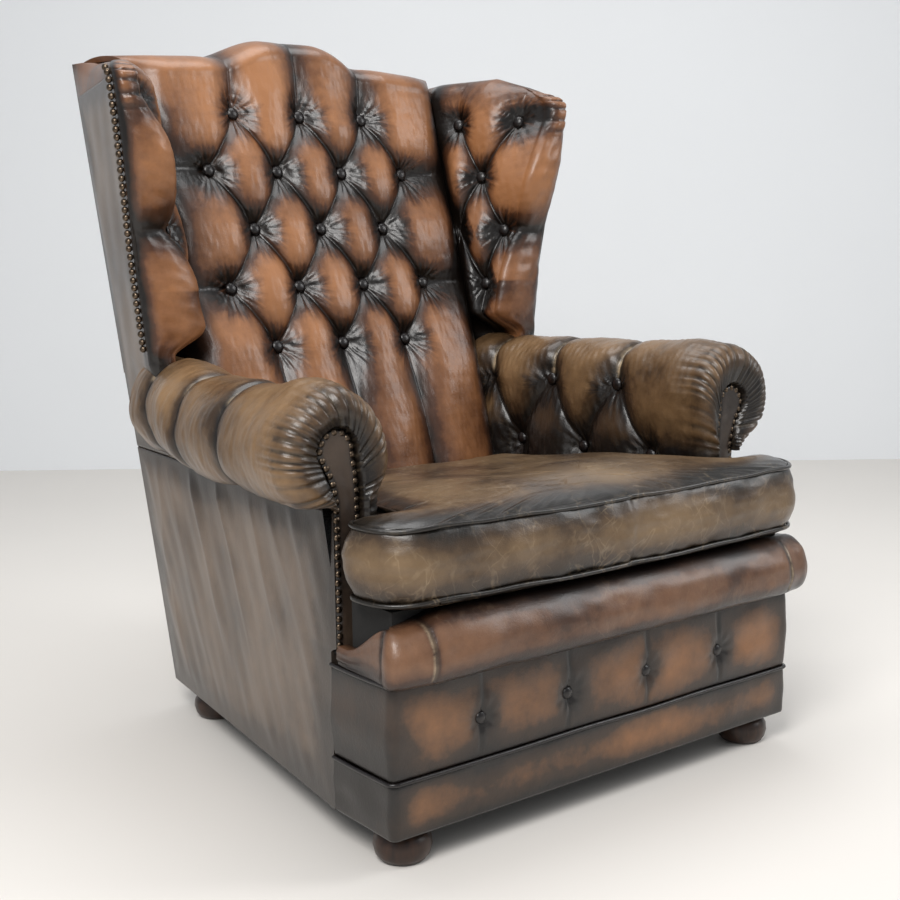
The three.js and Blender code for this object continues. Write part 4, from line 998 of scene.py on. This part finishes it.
def apron_marks(path, z):
    x = path[None, :, 0]
    # Painted shade: darker along the top under the lip, along the bottom, and towards both ends; the hollows
    # round the buttons stay dark as well.
    mark = np.sin(math.pi * np.clip((z - PLINTH_TOP) / (APRON_TOP - PLINTH_TOP), 0, 1)) ** 0.7
    for at in APRON_BUTTONS:
        away = x - at
        up = z - APRON_BUTTON_Z
        halo = 1.0 - 0.85 * bell(np.hypot(away - 6.0, up * 0.7), 24.0)
        mark = mark * halo * (1.0 - 0.7 * bell(away, 4.0))
    edge = smooth(BASE_HALF - np.abs(x), 0.0, 60.0)
    return {"rub": mark * (0.3 + 0.7 * edge)}


def plinth_section(path):
    low = FOOT_TOP + 0.5
    high = PLINTH_TOP - WELT_SEAM
    rows = np.linspace(0.0, 1.0, int(1.2 * CELLS))[:, None]
    z = mix(low, high, rows) + 0 * path[None, :, 0]
    bulge = 2.4 * np.sin(math.pi * rows) ** 0.5 - 1.0
    cycle = path[None, :, 0] - path[None, :, 1]
    waves = ripple_noise(cycle, z * 1.5, 70.0, 64) * 0.8 * np.sin(math.pi * rows)
    return bulge + waves, z, (high, low)


def plinth_marks(path, z):
    height = (z - FOOT_TOP) / (PLINTH_TOP - FOOT_TOP)
    # Painted shade: darker along the top under the welt, along the bottom by the floor, and towards both
    # ends.
    rub = np.sin(math.pi * np.clip(height, 0.0, 1.0)) ** 0.8
    return {"rub": rub * smooth(BASE_HALF - np.abs(path[None, :, 0]), -10.0, 50.0) * 0.8}


def border_piping(name, z):
    path, outward = border_path(BASE_RETURN)
    wander = ripple_noise(path[:, 0], path[:, 1], 160.0, 65) * 0.7
    line = np.concatenate([path + outward * 1.2, (z + wander)[:, None]], axis=-1)
    return tube(name, line, WELT)


# Flat outside covers


def outside_cover(name, points, thickness_along, marks):
    """A panel grid given its thickness backwards along one axis, an (axis, millimetres) pair."""
    axis, thickness = thickness_along
    inner = points.copy()
    inner[..., axis] -= thickness
    ring = closed_ring(np.concatenate([points, inner[::-1][::max(1, len(points) // 6)], inner[:1]]))
    tail = len(ring) - len(points)
    given = {mark: grow_rows(values, tail) for mark, values in marks.items()}
    cover = cover_from_grid(name, ring, given)
    return cover


def outside_arm_cover(side):
    seed = 71 if side == "right" else 72
    levels = np.linspace(FOOT_TOP, ARM_UNDER - 2.0, 5 * CELLS)[:, None]
    share = np.linspace(0.0, 1.0, 7 * CELLS)[None, :]
    front_y = mix(BASE_RETURN + 0.5, FACING_FRONT + 1.5, smooth(levels, 252.0, 258.0))
    y = mix(front_y, rear_y(levels) - PANEL - FIT, share)
    z = levels + 0 * y
    edge = np.minimum(np.minimum(share, 1 - share) * 600.0, np.minimum(z - FOOT_TOP, ARM_UNDER - z))
    inside = smooth(edge, 0.0, 45.0)
    slanted = y * 0.91 - z * 0.41
    length = y * 0.41 + z * 0.91
    folds = 1.0 - np.abs(ripple_noise(slanted, length * 0.14, 150.0, seed))
    folds = 5.0 * np.clip(folds, 0.0, 1.0) ** 2 * smooth(length, 150.0, 620.0)
    fine = ripple_noise(slanted, length * 0.2, 40.0, seed + 4) * 0.9
    x = side_x(y, z) + 1.2 * inside + (folds + fine) * inside
    points = np.stack([x * sign_of(side), y, z], axis=-1)
    # Painted shade: darker along the panel's edges.
    marks = {"rub": 0.35 + 0.65 * smooth(edge, 0.0, 70.0)}
    return outside_cover("outside_arm_cover_" + side, points, (0, PANEL * sign_of(side)), marks)


def outside_wing_cover(side):
    seed = 75 if side == "right" else 76
    levels = np.linspace(ARM_UNDER + 0.6, WING_SHOULDER, 7 * CELLS)[:, None]
    share = np.linspace(0.0, 1.0, 4 * CELLS)[None, :]
    y = mix(wing_edge_y(levels) + WING_NAIL_STEP + 0.4, rear_y(levels) - PANEL - FIT, share)
    z = levels + 0 * y
    edge = np.minimum(np.minimum(share, 1 - share) * 280.0, np.minimum(z - ARM_UNDER, WING_SHOULDER - z))
    inside = smooth(edge, 0.0, 40.0)
    folds = ripple_noise(y * 0.9, z * 0.45, 80.0, seed) * 1.4
    x = wing_x(y, z) + 0.8 * inside + folds * inside
    points = np.stack([x * sign_of(side), y, z], axis=-1)
    # Painted shade: darker along the panel's edges.
    marks = {"rub": 0.35 + 0.65 * smooth(edge, 0.0, 50.0)}
    return outside_cover("outside_wing_cover_" + side, points, (0, PANEL * sign_of(side)), marks)


def outside_back_cover():
    half = rear_x(WING_SHOULDER) - PANEL - FIT
    share = np.linspace(-1.0, 1.0, 8 * CELLS)[None, :]
    top = crest_z(share * half) - CREST_COVER - FIT
    level = np.linspace(0.0, 1.0, 9 * CELLS)[:, None]
    z = mix(FOOT_TOP, top, level)
    x = share * mix(REAR_HALF, half, level)
    edge = np.minimum((1 - np.abs(share)) * 300.0, np.minimum(level, 1 - level) * 950.0)
    inside = smooth(edge, 0.0, 50.0)
    folds = ripple_noise(x * 0.6, z * 0.5 + x * 0.2, 85.0, 79) * 1.5
    y = rear_y(z) - 0.4 + (0.6 + folds) * inside
    points = np.stack([x, y, z], axis=-1)
    # Painted shade: darker along the panel's edges.
    marks = {"rub": 0.35 + 0.65 * smooth(edge, 0.0, 60.0)}
    return outside_cover("outside_back_cover", points, (1, PANEL), marks)


# Buttons, nails and feet: each size is a radius and a height, each detail rings and sides

BUTTON = (10.5, 5.5)
APRON_BUTTON = (8.6, 4.6)
WING_NAIL = (5.4, 4.2)
FACING_NAIL = (4.8, 3.0)
BUTTON_DETAIL = (8, 16)
NAIL_DETAIL = (6, 10)
NAIL_PITCH = 11.0


def facing_matrix(place, direction, turn=0.0):
    """Puts a shape made round +Z at a place in chair millimetres, with +Z along direction."""
    spot = Vector(into_frame(np.array(place, float)))
    lean = Vector(direction).normalized().to_track_quat("Z", "Y").to_matrix().to_4x4()
    return Matrix.Translation(spot) @ lean @ Matrix.Rotation(turn, 4, "Z")


def add_dome(bm, matrix, radius, height, rings, sides):
    """A flattened ball whose lower half is shallow, as a nail head or a covered button is."""
    made = bmesh.ops.create_uvsphere(bm, u_segments=sides, v_segments=rings, radius=1.0)["verts"]
    for vert in made:
        low = 0.45 if vert.co.z < 0 else 1.0
        vert.co = Vector((vert.co.x * radius, vert.co.y * radius, vert.co.z * height * low)) * MM
    bmesh.ops.transform(bm, matrix=matrix, verts=made)


def domes(name, places, size, detail=BUTTON_DETAIL):
    bm = bmesh.new()
    for count, (place, direction) in enumerate(places):
        add_dome(bm, facing_matrix(place, direction, count * 0.7), *size, *detail)
    for face in bm.faces:
        face.smooth = True
    return linked_mesh(name, bm)


def back_button_places():
    lean = (0.0, -math.cos(BACK_LEAN), math.sin(BACK_LEAN))
    places = []
    for row in range(BACK_ROWS):
        z = BACK_LOW_ROW + row * ROW_HEIGHT
        for a in ((-3, -1, 1, 3) if row % 2 else (-2, 0, 2)):
            places.append(((a * HALF_PITCH, float(button_plane(z)) - 3.0, z), lean))
    return places


def wing_button_places(side):
    lean = Vector((-1.0, -WING_INWARD, WING_FLARE)).normalized()
    places = []
    for row in range(WING_ROWS):
        z = WING_LOW_ROW + row * ROW_HEIGHT
        for a in ((-1, 1) if row % 2 else (0,)):
            y = float(wing_column(z) + a * wing_pitch(z) / 2.0)
            if y < button_plane(z) - 20.0:
                x = float(wing_plane_x(y, z)) - 3.0
                places.append(((x * sign_of(side), y, z), (lean.x * sign_of(side), lean.y, lean.z)))
    return places


def arm_button_places(side):
    places = []
    for number in range(5):
        y = ARM_FIRST + (number - 1) * ARM_HALF_PITCH
        z = ARM_UPPER if number % 2 else ARM_LOWER
        x = float(roll_axis_x(y)) - ROLL_RADIUS + ARM_TUFT * 0.9 - 1.0
        places.append(((x * sign_of(side), y, z), (-sign_of(side), -ARM_TAPER, 0.0)))
    return places


def spaced(line, pitch):
    length = np.linalg.norm(np.diff(line, axis=0), axis=1).sum()
    return along_line(line, np.linspace(0.0, 1.0, int(length / pitch) + 1))


def wobble(number, size):
    return size * math.sin(number * 12.9) * math.cos(number * 4.1)


def wing_nail_places(side):
    z = np.linspace(600.0, 1008.0, 60)
    y = wing_nail_y(z) + WING_NAIL_BAND
    z = z - np.maximum(z - WING_SHOULDER, 0.0) * 0.5
    line = np.stack([wing_x(y, z) + 1.0, y, z], axis=-1)
    places = []
    for number, (x, along, up) in enumerate(spaced(line, NAIL_PITCH)):
        place = ((x + 2.4) * sign_of(side), along + 1.5 + wobble(number, 0.7), up + wobble(number + 3, 0.6))
        places.append((place, (sign_of(side), -0.75, -0.06)))
    return places


def facing_nail_places(side):
    """Nails along both edges of the facing and round its head."""
    line = facing_outline(-3.5)
    line = line[line[:, 1] > FACING_NAIL_FOOT]
    ends = [[[line[end, 0], FACING_NAIL_FOOT]] for end in (0, -1)]
    line = np.concatenate([ends[0], line, ends[1]])
    places = []
    for number, (x, z) in enumerate(spaced(line, NAIL_PITCH)):
        place = ((x + wobble(number, 0.5)) * sign_of(side), FACING_FRONT + 0.8, z + wobble(number + 5, 0.6))
        places.append((place, (0.0, -1.0, 0.0)))
    return places


def apron_button_places():
    return [((x, 3.0, APRON_BUTTON_Z), (0.0, -1.0, 0.0)) for x in APRON_BUTTONS]


def bun_foot(name, x, y):
    top = FOOT_TOP - FIT
    profile = [(0.0, 0.0), (22.5, 0.0), (30.0, 2.6), (34.5, 9.0), (37.0, 19.0), (36.0, 28.0),
               (31.5, 35.5), (27.4, 38.6), (27.6, 40.5), (29.6, 42.0), (29.6, top), (0.0, top)]
    bm = bmesh.new()
    verts = [bm.verts.new(Vector((r, 0.0, z)) * MM) for r, z in profile]
    edges = [bm.edges.new(pair) for pair in zip(verts, verts[1:])]
    bmesh.ops.spin(bm, geom=verts + edges, cent=(0, 0, 0), axis=(0, 0, 1), angle=math.tau,
                   steps=40, use_merge=True)
    bmesh.ops.remove_doubles(bm, verts=bm.verts, dist=1e-6)
    bmesh.ops.recalc_face_normals(bm, faces=bm.faces)
    sharp = [edge for edge in bm.edges if edge.calc_face_angle(0.0) > math.radians(50)]
    bmesh.ops.bevel(bm, geom=sharp, affect="EDGES", offset=0.8 * MM, segments=2, profile=0.5, material=-1)
    for face in bm.faces:
        face.smooth = True
    bmesh.ops.transform(bm, matrix=Matrix.Translation(into_frame(np.array([x, y, 0.0]))), verts=bm.verts)
    return linked_mesh(name, bm)


# Shader nodes

def add(tree, kind, inputs=None, **settings):
    """A shader node with its settings, and its inputs set to values or linked to sockets."""
    made = tree.nodes.new("ShaderNode" + kind)
    for key, value in settings.items():
        setattr(made, key, value)
    for key, value in (inputs or {}).items():
        if isinstance(value, bpy.types.NodeSocket):
            tree.links.new(value, made.inputs[key])
        else:
            made.inputs[key].default_value = value
    return made


def maths(tree, operation, first, second=None, third=None, clamp=False):
    inputs = {0: first}
    if second is not None:
        inputs[1] = second
    if third is not None:
        inputs[2] = third
    return add(tree, "Math", inputs, operation=operation, use_clamp=clamp).outputs[0]


def blend(tree, share, first, second):
    made = add(tree, "Mix", {0: share, 6: first, 7: second}, data_type="RGBA")
    return made.outputs[2]


def span(tree, value, low, high, start=0.0, end=1.0):
    made = add(tree, "MapRange", {0: value, 1: low, 2: high, 3: start, 4: end})
    return made.outputs[0]


def noise(tree, vector, scale, detail=3.0, roughness=0.55):
    return add(tree, "TexNoise", {
        "Vector": vector, "Scale": scale, "Detail": detail, "Roughness": roughness}).outputs[0]


def ridge(tree, value, width=0.011):
    """1 along the thin lines where a noise passes its middle value."""
    away = maths(tree, "ABSOLUTE", maths(tree, "SUBTRACT", value, 0.5))
    return maths(tree, "SUBTRACT", 1.0, span(tree, away, 0.0, width), clamp=True)


def surface_mark(tree, name):
    return add(tree, "Attribute", attribute_name=name, attribute_type="GEOMETRY")


def new_group(name, inputs, outputs):
    group = bpy.data.node_groups.new(name, "ShaderNodeTree")
    for socket, (kind, value) in inputs.items():
        made = group.interface.new_socket(socket, in_out="INPUT", socket_type="NodeSocket" + kind)
        made.default_value = value
    for socket, kind in outputs.items():
        group.interface.new_socket(socket, in_out="OUTPUT", socket_type="NodeSocket" + kind)
    return group, group.nodes.new("NodeGroupInput"), group.nodes.new("NodeGroupOutput")


def antiqued_leather_group():
    """Rubbed-through leather: dark in folds and round buttons, pale where it is worn, and darker still where
    its mark holds painted shade along edges and under other parts.
    """
    group, given, result = new_group("Antiqued leather", {
        "Deep": ("Color", (0.008, 0.004, 0.003, 1)),
        "Middle": ("Color", (0.085, 0.034, 0.016, 1)),
        "Worn": ("Color", (0.42, 0.20, 0.09, 1)),
        "Crack": ("Color", (0.55, 0.42, 0.27, 1)),
        "Wear and shade": ("Float", 1.0),
        "Cracks": ("Float", 0.0),
    }, {"Color": "Color", "Roughness": "Float", "Height": "Float"})
    spot = add(group, "TexCoord").outputs["Object"]
    # The mark read here is real wear on the pillows and painted shade along edges, in corners and under
    # other parts.
    rub = surface_mark(group, "rub").outputs["Fac"]
    crease = surface_mark(group, "crease").outputs["Fac"]
    reach = surface_mark(group, "reach").outputs["Fac"]
    spoke = add(group, "Mapping", {
        "Vector": surface_mark(group, "spoke").outputs["Vector"], "Scale": (1.0, 1.0, 0.25)}).outputs[0]

    cloudy = noise(group, spot, 7.0, 4.0)
    patchy = noise(group, spot, 3.4, 2.0)
    mottled = noise(group, spot, 55.0, 6.0, 0.65)
    streaks = noise(group, spoke, 4.5, 4.0, 0.6)
    near = maths(group, "SUBTRACT", 1.0, span(group, reach, 0.08, 0.65), clamp=True)
    near = maths(group, "MULTIPLY", near, span(group, reach, 0.0, 0.05))
    wear_and_shade = maths(group, "MULTIPLY", rub, given.outputs["Wear and shade"])
    wear_and_shade = maths(group, "MULTIPLY_ADD", maths(group, "SUBTRACT", cloudy, 0.5), 1.0, wear_and_shade)
    wear_and_shade = maths(group, "MULTIPLY_ADD", maths(group, "SUBTRACT", patchy, 0.5), 0.9, wear_and_shade)
    wear_and_shade = maths(group, "MULTIPLY_ADD", maths(group, "SUBTRACT", mottled, 0.5), 0.45, wear_and_shade)
    streaked = maths(group, "MULTIPLY", maths(group, "SUBTRACT", streaks, 0.5), near)
    wear_and_shade = maths(group, "MULTIPLY_ADD", streaked, 2.4, wear_and_shade)
    low = span(group, wear_and_shade, 0.18, 0.70)
    high = span(group, wear_and_shade, 0.58, 1.16)
    color = blend(group, low, given.outputs["Deep"], given.outputs["Middle"])
    color = blend(group, high, color, given.outputs["Worn"])

    bent = noise(group, spot, 22.0, 3.0)
    bent_spot = add(group, "VectorMath", {
        0: spot, 1: add(group, "CombineXYZ", {0: maths(group, "MULTIPLY", bent, 0.03)}).outputs[0],
    }, operation="ADD").outputs[0]
    slanted = []
    for lean, scale in ((0.6, 30.0), (-0.9, 22.0), (0.2, 17.0)):
        along = add(group, "Mapping", {"Vector": bent_spot, "Rotation": (0.0, lean, 0.3)}).outputs[0]
        along = add(group, "Mapping", {"Vector": along, "Scale": (1.0, 0.6, 0.22)}).outputs[0]
        slanted.append(ridge(group, noise(group, along, scale, 3.0, 0.5)))
    line = maths(group, "MAXIMUM", maths(group, "MAXIMUM", slanted[0], slanted[1]), slanted[2])
    where = span(group, noise(group, spot, 14.0, 5.0, 0.7), 0.46, 0.72)
    cracked = maths(group, "MULTIPLY", maths(group, "MULTIPLY", line, where), given.outputs["Cracks"])
    worn_fold = maths(group, "MULTIPLY", crease, span(group, mottled, 0.35, 0.6))
    cracked = maths(group, "MAXIMUM", cracked, maths(group, "MULTIPLY", worn_fold, 0.8))
    color = blend(group, cracked, color, given.outputs["Crack"])

    grain = add(group, "TexVoronoi", {"Vector": spot, "Scale": 620.0}, feature="F1").outputs[0]
    pores = noise(group, spot, 260.0, 4.0)
    height = maths(group, "MULTIPLY_ADD", grain, -0.5, maths(group, "MULTIPLY", pores, 0.9))
    height = maths(group, "MULTIPLY_ADD", cracked, -0.6, height)
    height = maths(group, "MULTIPLY_ADD", mottled, 0.8, height)
    rough = span(group, wear_and_shade, 0.0, 1.0, 0.24, 0.33)
    rough = maths(group, "MULTIPLY_ADD", mottled, 0.14, rough)
    for socket, value in (("Color", color), ("Roughness", rough), ("Height", height)):
        group.links.new(value, result.inputs[socket])
    return group


def material(name):
    made = bpy.data.materials.new(name)
    made.use_nodes = True
    tree = made.node_tree
    return made, tree, tree.nodes["Principled BSDF"]


def bumped(tree, shader, height, strength, distance):
    bump = add(tree, "Bump", {"Height": height, "Strength": strength, "Distance": distance})
    tree.links.new(bump.outputs[0], shader.inputs["Normal"])


def leather(name, group, deep, middle, worn, wear_and_shade=1.0, cracks=0.0, bump=0.5):
    made, tree, shader = material(name)
    skin = tree.nodes.new("ShaderNodeGroup")
    skin.node_tree = group
    skin.inputs["Deep"].default_value = (*deep, 1)
    skin.inputs["Middle"].default_value = (*middle, 1)
    skin.inputs["Worn"].default_value = (*worn, 1)
    skin.inputs["Wear and shade"].default_value = wear_and_shade
    skin.inputs["Cracks"].default_value = cracks
    tree.links.new(skin.outputs["Color"], shader.inputs["Base Color"])
    tree.links.new(skin.outputs["Roughness"], shader.inputs["Roughness"])
    shader.inputs["Coat Weight"].default_value = 0.2
    shader.inputs["Coat Roughness"].default_value = 0.2
    bumped(tree, shader, skin.outputs["Height"], bump, 0.0006)
    return made


def simple_finish(name, dark, light, scale, roughness, metallic=0.0, bump=0.3, stretch=(1, 1, 1)):
    """A finish whose colour wanders between two shades, with a light bump of the same pattern."""
    made, tree, shader = material(name)
    spot = add(tree, "TexCoord").outputs["Object"]
    spot = add(tree, "Mapping", {"Vector": spot, "Scale": stretch}).outputs[0]
    pattern = noise(tree, spot, scale, 5.0, 0.6)
    color = blend(tree, span(tree, pattern, 0.3, 0.7), (*dark, 1), (*light, 1))
    tree.links.new(color, shader.inputs["Base Color"])
    rough = span(tree, pattern, 0.3, 0.7, roughness - 0.07, roughness + 0.07)
    tree.links.new(rough, shader.inputs["Roughness"])
    shader.inputs["Metallic"].default_value = metallic
    bumped(tree, shader, pattern, bump, 0.0004)
    return made


skin_group = antiqued_leather_group()
TAN = leather("Tan rubbed leather", skin_group, (0.005, 0.003, 0.002), (0.085, 0.030, 0.011),
              (0.33, 0.142, 0.055))
OLIVE = leather("Olive brown leather", skin_group, (0.006, 0.004, 0.003), (0.060, 0.032, 0.014),
                (0.25, 0.146, 0.066), wear_and_shade=0.88, cracks=0.08)
SEAT = leather("Cracked seat leather", skin_group, (0.008, 0.006, 0.004), (0.062, 0.036, 0.018),
               (0.21, 0.135, 0.068), wear_and_shade=0.82, cracks=0.3)
LIP = leather("Reddish front leather", skin_group, (0.008, 0.004, 0.003), (0.066, 0.029, 0.015),
              (0.22, 0.108, 0.055), wear_and_shade=0.95, cracks=0.08)
APRON = leather("Front panel leather", skin_group, (0.007, 0.005, 0.004), (0.050, 0.028, 0.016),
                (0.25, 0.112, 0.044))
GREY = leather("Grey brown leather", skin_group, (0.022, 0.017, 0.014), (0.075, 0.055, 0.042),
               (0.20, 0.147, 0.108), wear_and_shade=0.95)
STRIP = leather("Dark strip leather", skin_group, (0.008, 0.006, 0.005), (0.028, 0.019, 0.014),
                (0.09, 0.06, 0.04))
DARK = leather("Black brown leather", skin_group, (0.005, 0.003, 0.003), (0.012, 0.008, 0.006),
               (0.045, 0.027, 0.018), wear_and_shade=0.7)
BRONZE = simple_finish("Dull bronze nails", (0.045, 0.032, 0.024), (0.20, 0.15, 0.105), 300.0, 0.34, 1.0)
DARK_WOOD = simple_finish("Dark stained wood", (0.012, 0.006, 0.004), (0.05, 0.022, 0.012), 40.0, 0.38,
                          stretch=(3, 3, 0.6))
RAW_WOOD = simple_finish("Raw frame wood", (0.28, 0.18, 0.10), (0.45, 0.32, 0.19), 30.0, 0.6,
                         stretch=(4, 4, 0.5))
STEEL = simple_finish("Spring steel", (0.25, 0.25, 0.26), (0.42, 0.42, 0.43), 90.0, 0.4, 1.0)
CLOTH_AND_SHADE = simple_finish("Black platform cloth and painted shade", (0.006, 0.006, 0.006), (0.02, 0.019, 0.018), 400.0, 0.9)


# Putting the pieces in place

def dress(piece, finish, slot, *nodes):
    piece.data.materials.append(finish)
    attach(piece, "root")
    if nodes:
        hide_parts(*nodes)
    return piece


dress(back_cover(), TAN, "leather_tan", "inside_back_pad")
for side in ("right", "left"):
    dress(wing_cover(side), TAN, "leather_tan", "inside_wing_pad_" + side)
    dress(arm_cover(side), OLIVE, "leather_olive", "arm_pad_" + side)
    dress(facing_cover(side), STRIP, "leather_olive", "arm_facing_" + side)
    dress(outside_arm_cover(side), GREY, "leather_grey", "outside_arm_" + side)
    dress(outside_wing_cover(side), GREY, "leather_grey", "outside_wing_" + side)
    wing_buttons = domes("wing_buttons_" + side, wing_button_places(side), BUTTON)
    dress(wing_buttons, DARK, "leather_dark")
    arm_buttons = domes("arm_buttons_" + side, arm_button_places(side), BUTTON)
    dress(arm_buttons, DARK, "leather_dark")
    nails = domes("wing_nails_" + side, wing_nail_places(side), WING_NAIL, NAIL_DETAIL)
    dress(nails, BRONZE, "spring_steel")
    nails = domes("facing_nails_" + side, facing_nail_places(side), FACING_NAIL, NAIL_DETAIL)
    dress(nails, BRONZE, "spring_steel")
dress(outside_back_cover(), GREY, "leather_grey", "outside_back")
for node in [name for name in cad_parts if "foot" in name]:
    low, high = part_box(node)
    middle = (low + high) / 2.0
    foot = bun_foot("bun_" + node, middle.x / MM, (middle.y - SHIFT_Y) / MM)
    dress(foot, DARK_WOOD, "stained_wood", node)
dress(domes("back_buttons", back_button_places(), BUTTON), DARK, "leather_dark")
dress(cushion_cover(), SEAT, "leather_olive", "seat_cushion")
dress(cushion_piping("cushion_top_piping", CUSHION_HIGH), SEAT, "leather_olive")
dress(cushion_piping("cushion_bottom_piping", CUSHION_LOW), SEAT, "leather_olive")
lip = border_cover("front_lip_roll", LIP_REACH, lip_section, lip_marks)
dress(lip, LIP, "leather_tan", "lip_roll")
apron = border_cover("buttoned_apron", BASE_RETURN, apron_section, apron_marks)
dress(apron, APRON, "leather_tan", "apron_panel")
plinth = border_cover("plinth_cover", BASE_RETURN, plinth_section, plinth_marks)
dress(plinth, APRON, "leather_tan", "plinth_band")
dress(border_piping("apron_piping", APRON_TOP), DARK, "leather_dark", "apron_welt")
dress(border_piping("plinth_piping", PLINTH_TOP), DARK, "leather_dark", "plinth_welt")
apron_buttons = domes("apron_buttons", apron_button_places(), APRON_BUTTON)
dress(apron_buttons, DARK, "leather_dark", *("apron_button_%d" % number for number in (1, 2, 3, 4)))


# Floor, backdrop, lamps and camera: the eye in millimetres, its angles in radians, the stage in metres

EYE = (-1208.4, -1229.9, 745.0)
TURN = 0.65286
DIP = 0.15190
TILT = -0.013242
LENS = 53.46
WALL_AWAY = 4.53
WALL_HEIGHT = 5.0
FLOOR_BEHIND = 3.0
STAGE_HALF = 7.0


def camera_axes():
    forward = Vector((math.sin(TURN) * math.cos(DIP), math.cos(TURN) * math.cos(DIP), -math.sin(DIP)))
    right = Vector((math.cos(TURN), -math.sin(TURN), 0.0))
    up = right.cross(forward)
    tilted_right = right * math.cos(TILT) + up * math.sin(TILT)
    tilted_up = up * math.cos(TILT) - right * math.sin(TILT)
    return tilted_right, tilted_up, forward


def place_camera():
    right, up, forward = camera_axes()
    camera = linked("camera", bpy.data.cameras.new("camera"))
    camera.data.lens = LENS
    turned = Matrix((right, up, -forward)).transposed().to_4x4()
    camera.matrix_world = Matrix.Translation(Vector(into_frame(np.array(EYE)))) @ turned
    bpy.context.scene.camera = camera
    return camera


def plain_paint(name, color):
    """A matt finish with a faint drift in its colour."""
    made, tree, shader = material(name)
    spot = add(tree, "TexCoord").outputs["Object"]
    drift = noise(tree, spot, 1.3, 2.0)
    tint = blend(tree, span(tree, drift, 0.3, 0.7), (*color, 1), (*(part * 0.985 for part in color), 1))
    tree.links.new(tint, shader.inputs["Base Color"])
    shader.inputs["Roughness"].default_value = 0.9
    shader.inputs["Specular IOR Level"].default_value = 0.1
    return made


def stage_sheet(name, corners, finish):
    bm = bmesh.new()
    made = bmesh.ops.create_grid(bm, x_segments=1, y_segments=1, size=1.0)["verts"]
    for vert, corner in zip(made, corners):
        vert.co = corner
    sheet = linked_mesh(name, bm)
    sheet.data.materials.append(finish)


def build_stage(camera):
    floor = plain_paint("Pale floor", (0.80, 0.77, 0.73))
    wall = plain_paint("Pale wall", (0.86, 0.88, 0.90))
    eye = camera.location
    ahead = Vector((math.sin(TURN), math.cos(TURN), 0.0))
    aside = Vector((ahead.y, -ahead.x, 0.0)) * STAGE_HALF
    foot = Vector((eye.x, eye.y, 0.0)) + ahead * WALL_AWAY
    near = Vector((eye.x, eye.y, 0.0)) - ahead * FLOOR_BEHIND
    high = Vector((0.0, 0.0, WALL_HEIGHT))
    edge = [foot - aside, foot + aside]
    stage_sheet("floor", [near - aside, near + aside, *edge], floor)
    stage_sheet("backdrop", [*edge, edge[0] + high, edge[1] + high], wall)


def soft_lamp(name, place, size, power, target, tint=(1.0, 1.0, 1.0)):
    lamp = linked(name, bpy.data.lights.new(name, "AREA"))
    lamp.data.shape = "RECTANGLE"
    lamp.data.size, lamp.data.size_y = size
    lamp.data.energy = power
    lamp.data.color = tint
    away = Vector(place) - Vector(target)
    lamp.matrix_world = Matrix.Translation(Vector(place)) @ away.to_track_quat("Z", "Y").to_matrix().to_4x4()


def build_lamps():
    target = (0.0, 0.0, 0.55)
    soft_lamp("key_lamp", (-1.8, -1.4, 2.3), (1.1, 1.3), 62.0, target, (1.0, 0.98, 0.96))
    soft_lamp("side_lamp", (1.9, -1.7, 1.9), (0.9, 1.5), 24.0, target)
    soft_lamp("top_lamp", (0.1, 0.3, 2.8), (1.8, 1.4), 30.0, target)
    world = bpy.data.worlds.new("soft_room")
    bpy.context.scene.world = world
    world.use_nodes = True
    tree = world.node_tree
    back = tree.nodes["Background"]
    back.inputs["Color"].default_value = (0.93, 0.96, 1.0, 1.0)
    back.inputs["Strength"].default_value = 0.4


camera = place_camera()
build_stage(camera)
build_lamps()
bpy.context.scene.view_settings.view_transform = "Standard"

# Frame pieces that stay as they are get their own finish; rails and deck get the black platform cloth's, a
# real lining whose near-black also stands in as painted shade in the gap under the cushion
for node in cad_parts:
    piece = bpy.data.objects.get(node)
    if piece is None or piece.type != "MESH":
        continue
    if "spring" in node:
        finish = STEEL
    elif node == "dust_cover" or "rail" in node or "deck" in node:
        finish = CLOTH_AND_SHADE
    else:
        finish = RAW_WOOD
    for place in piece.material_slots:
        place.material = finish

bpy.context.view_layer.update()
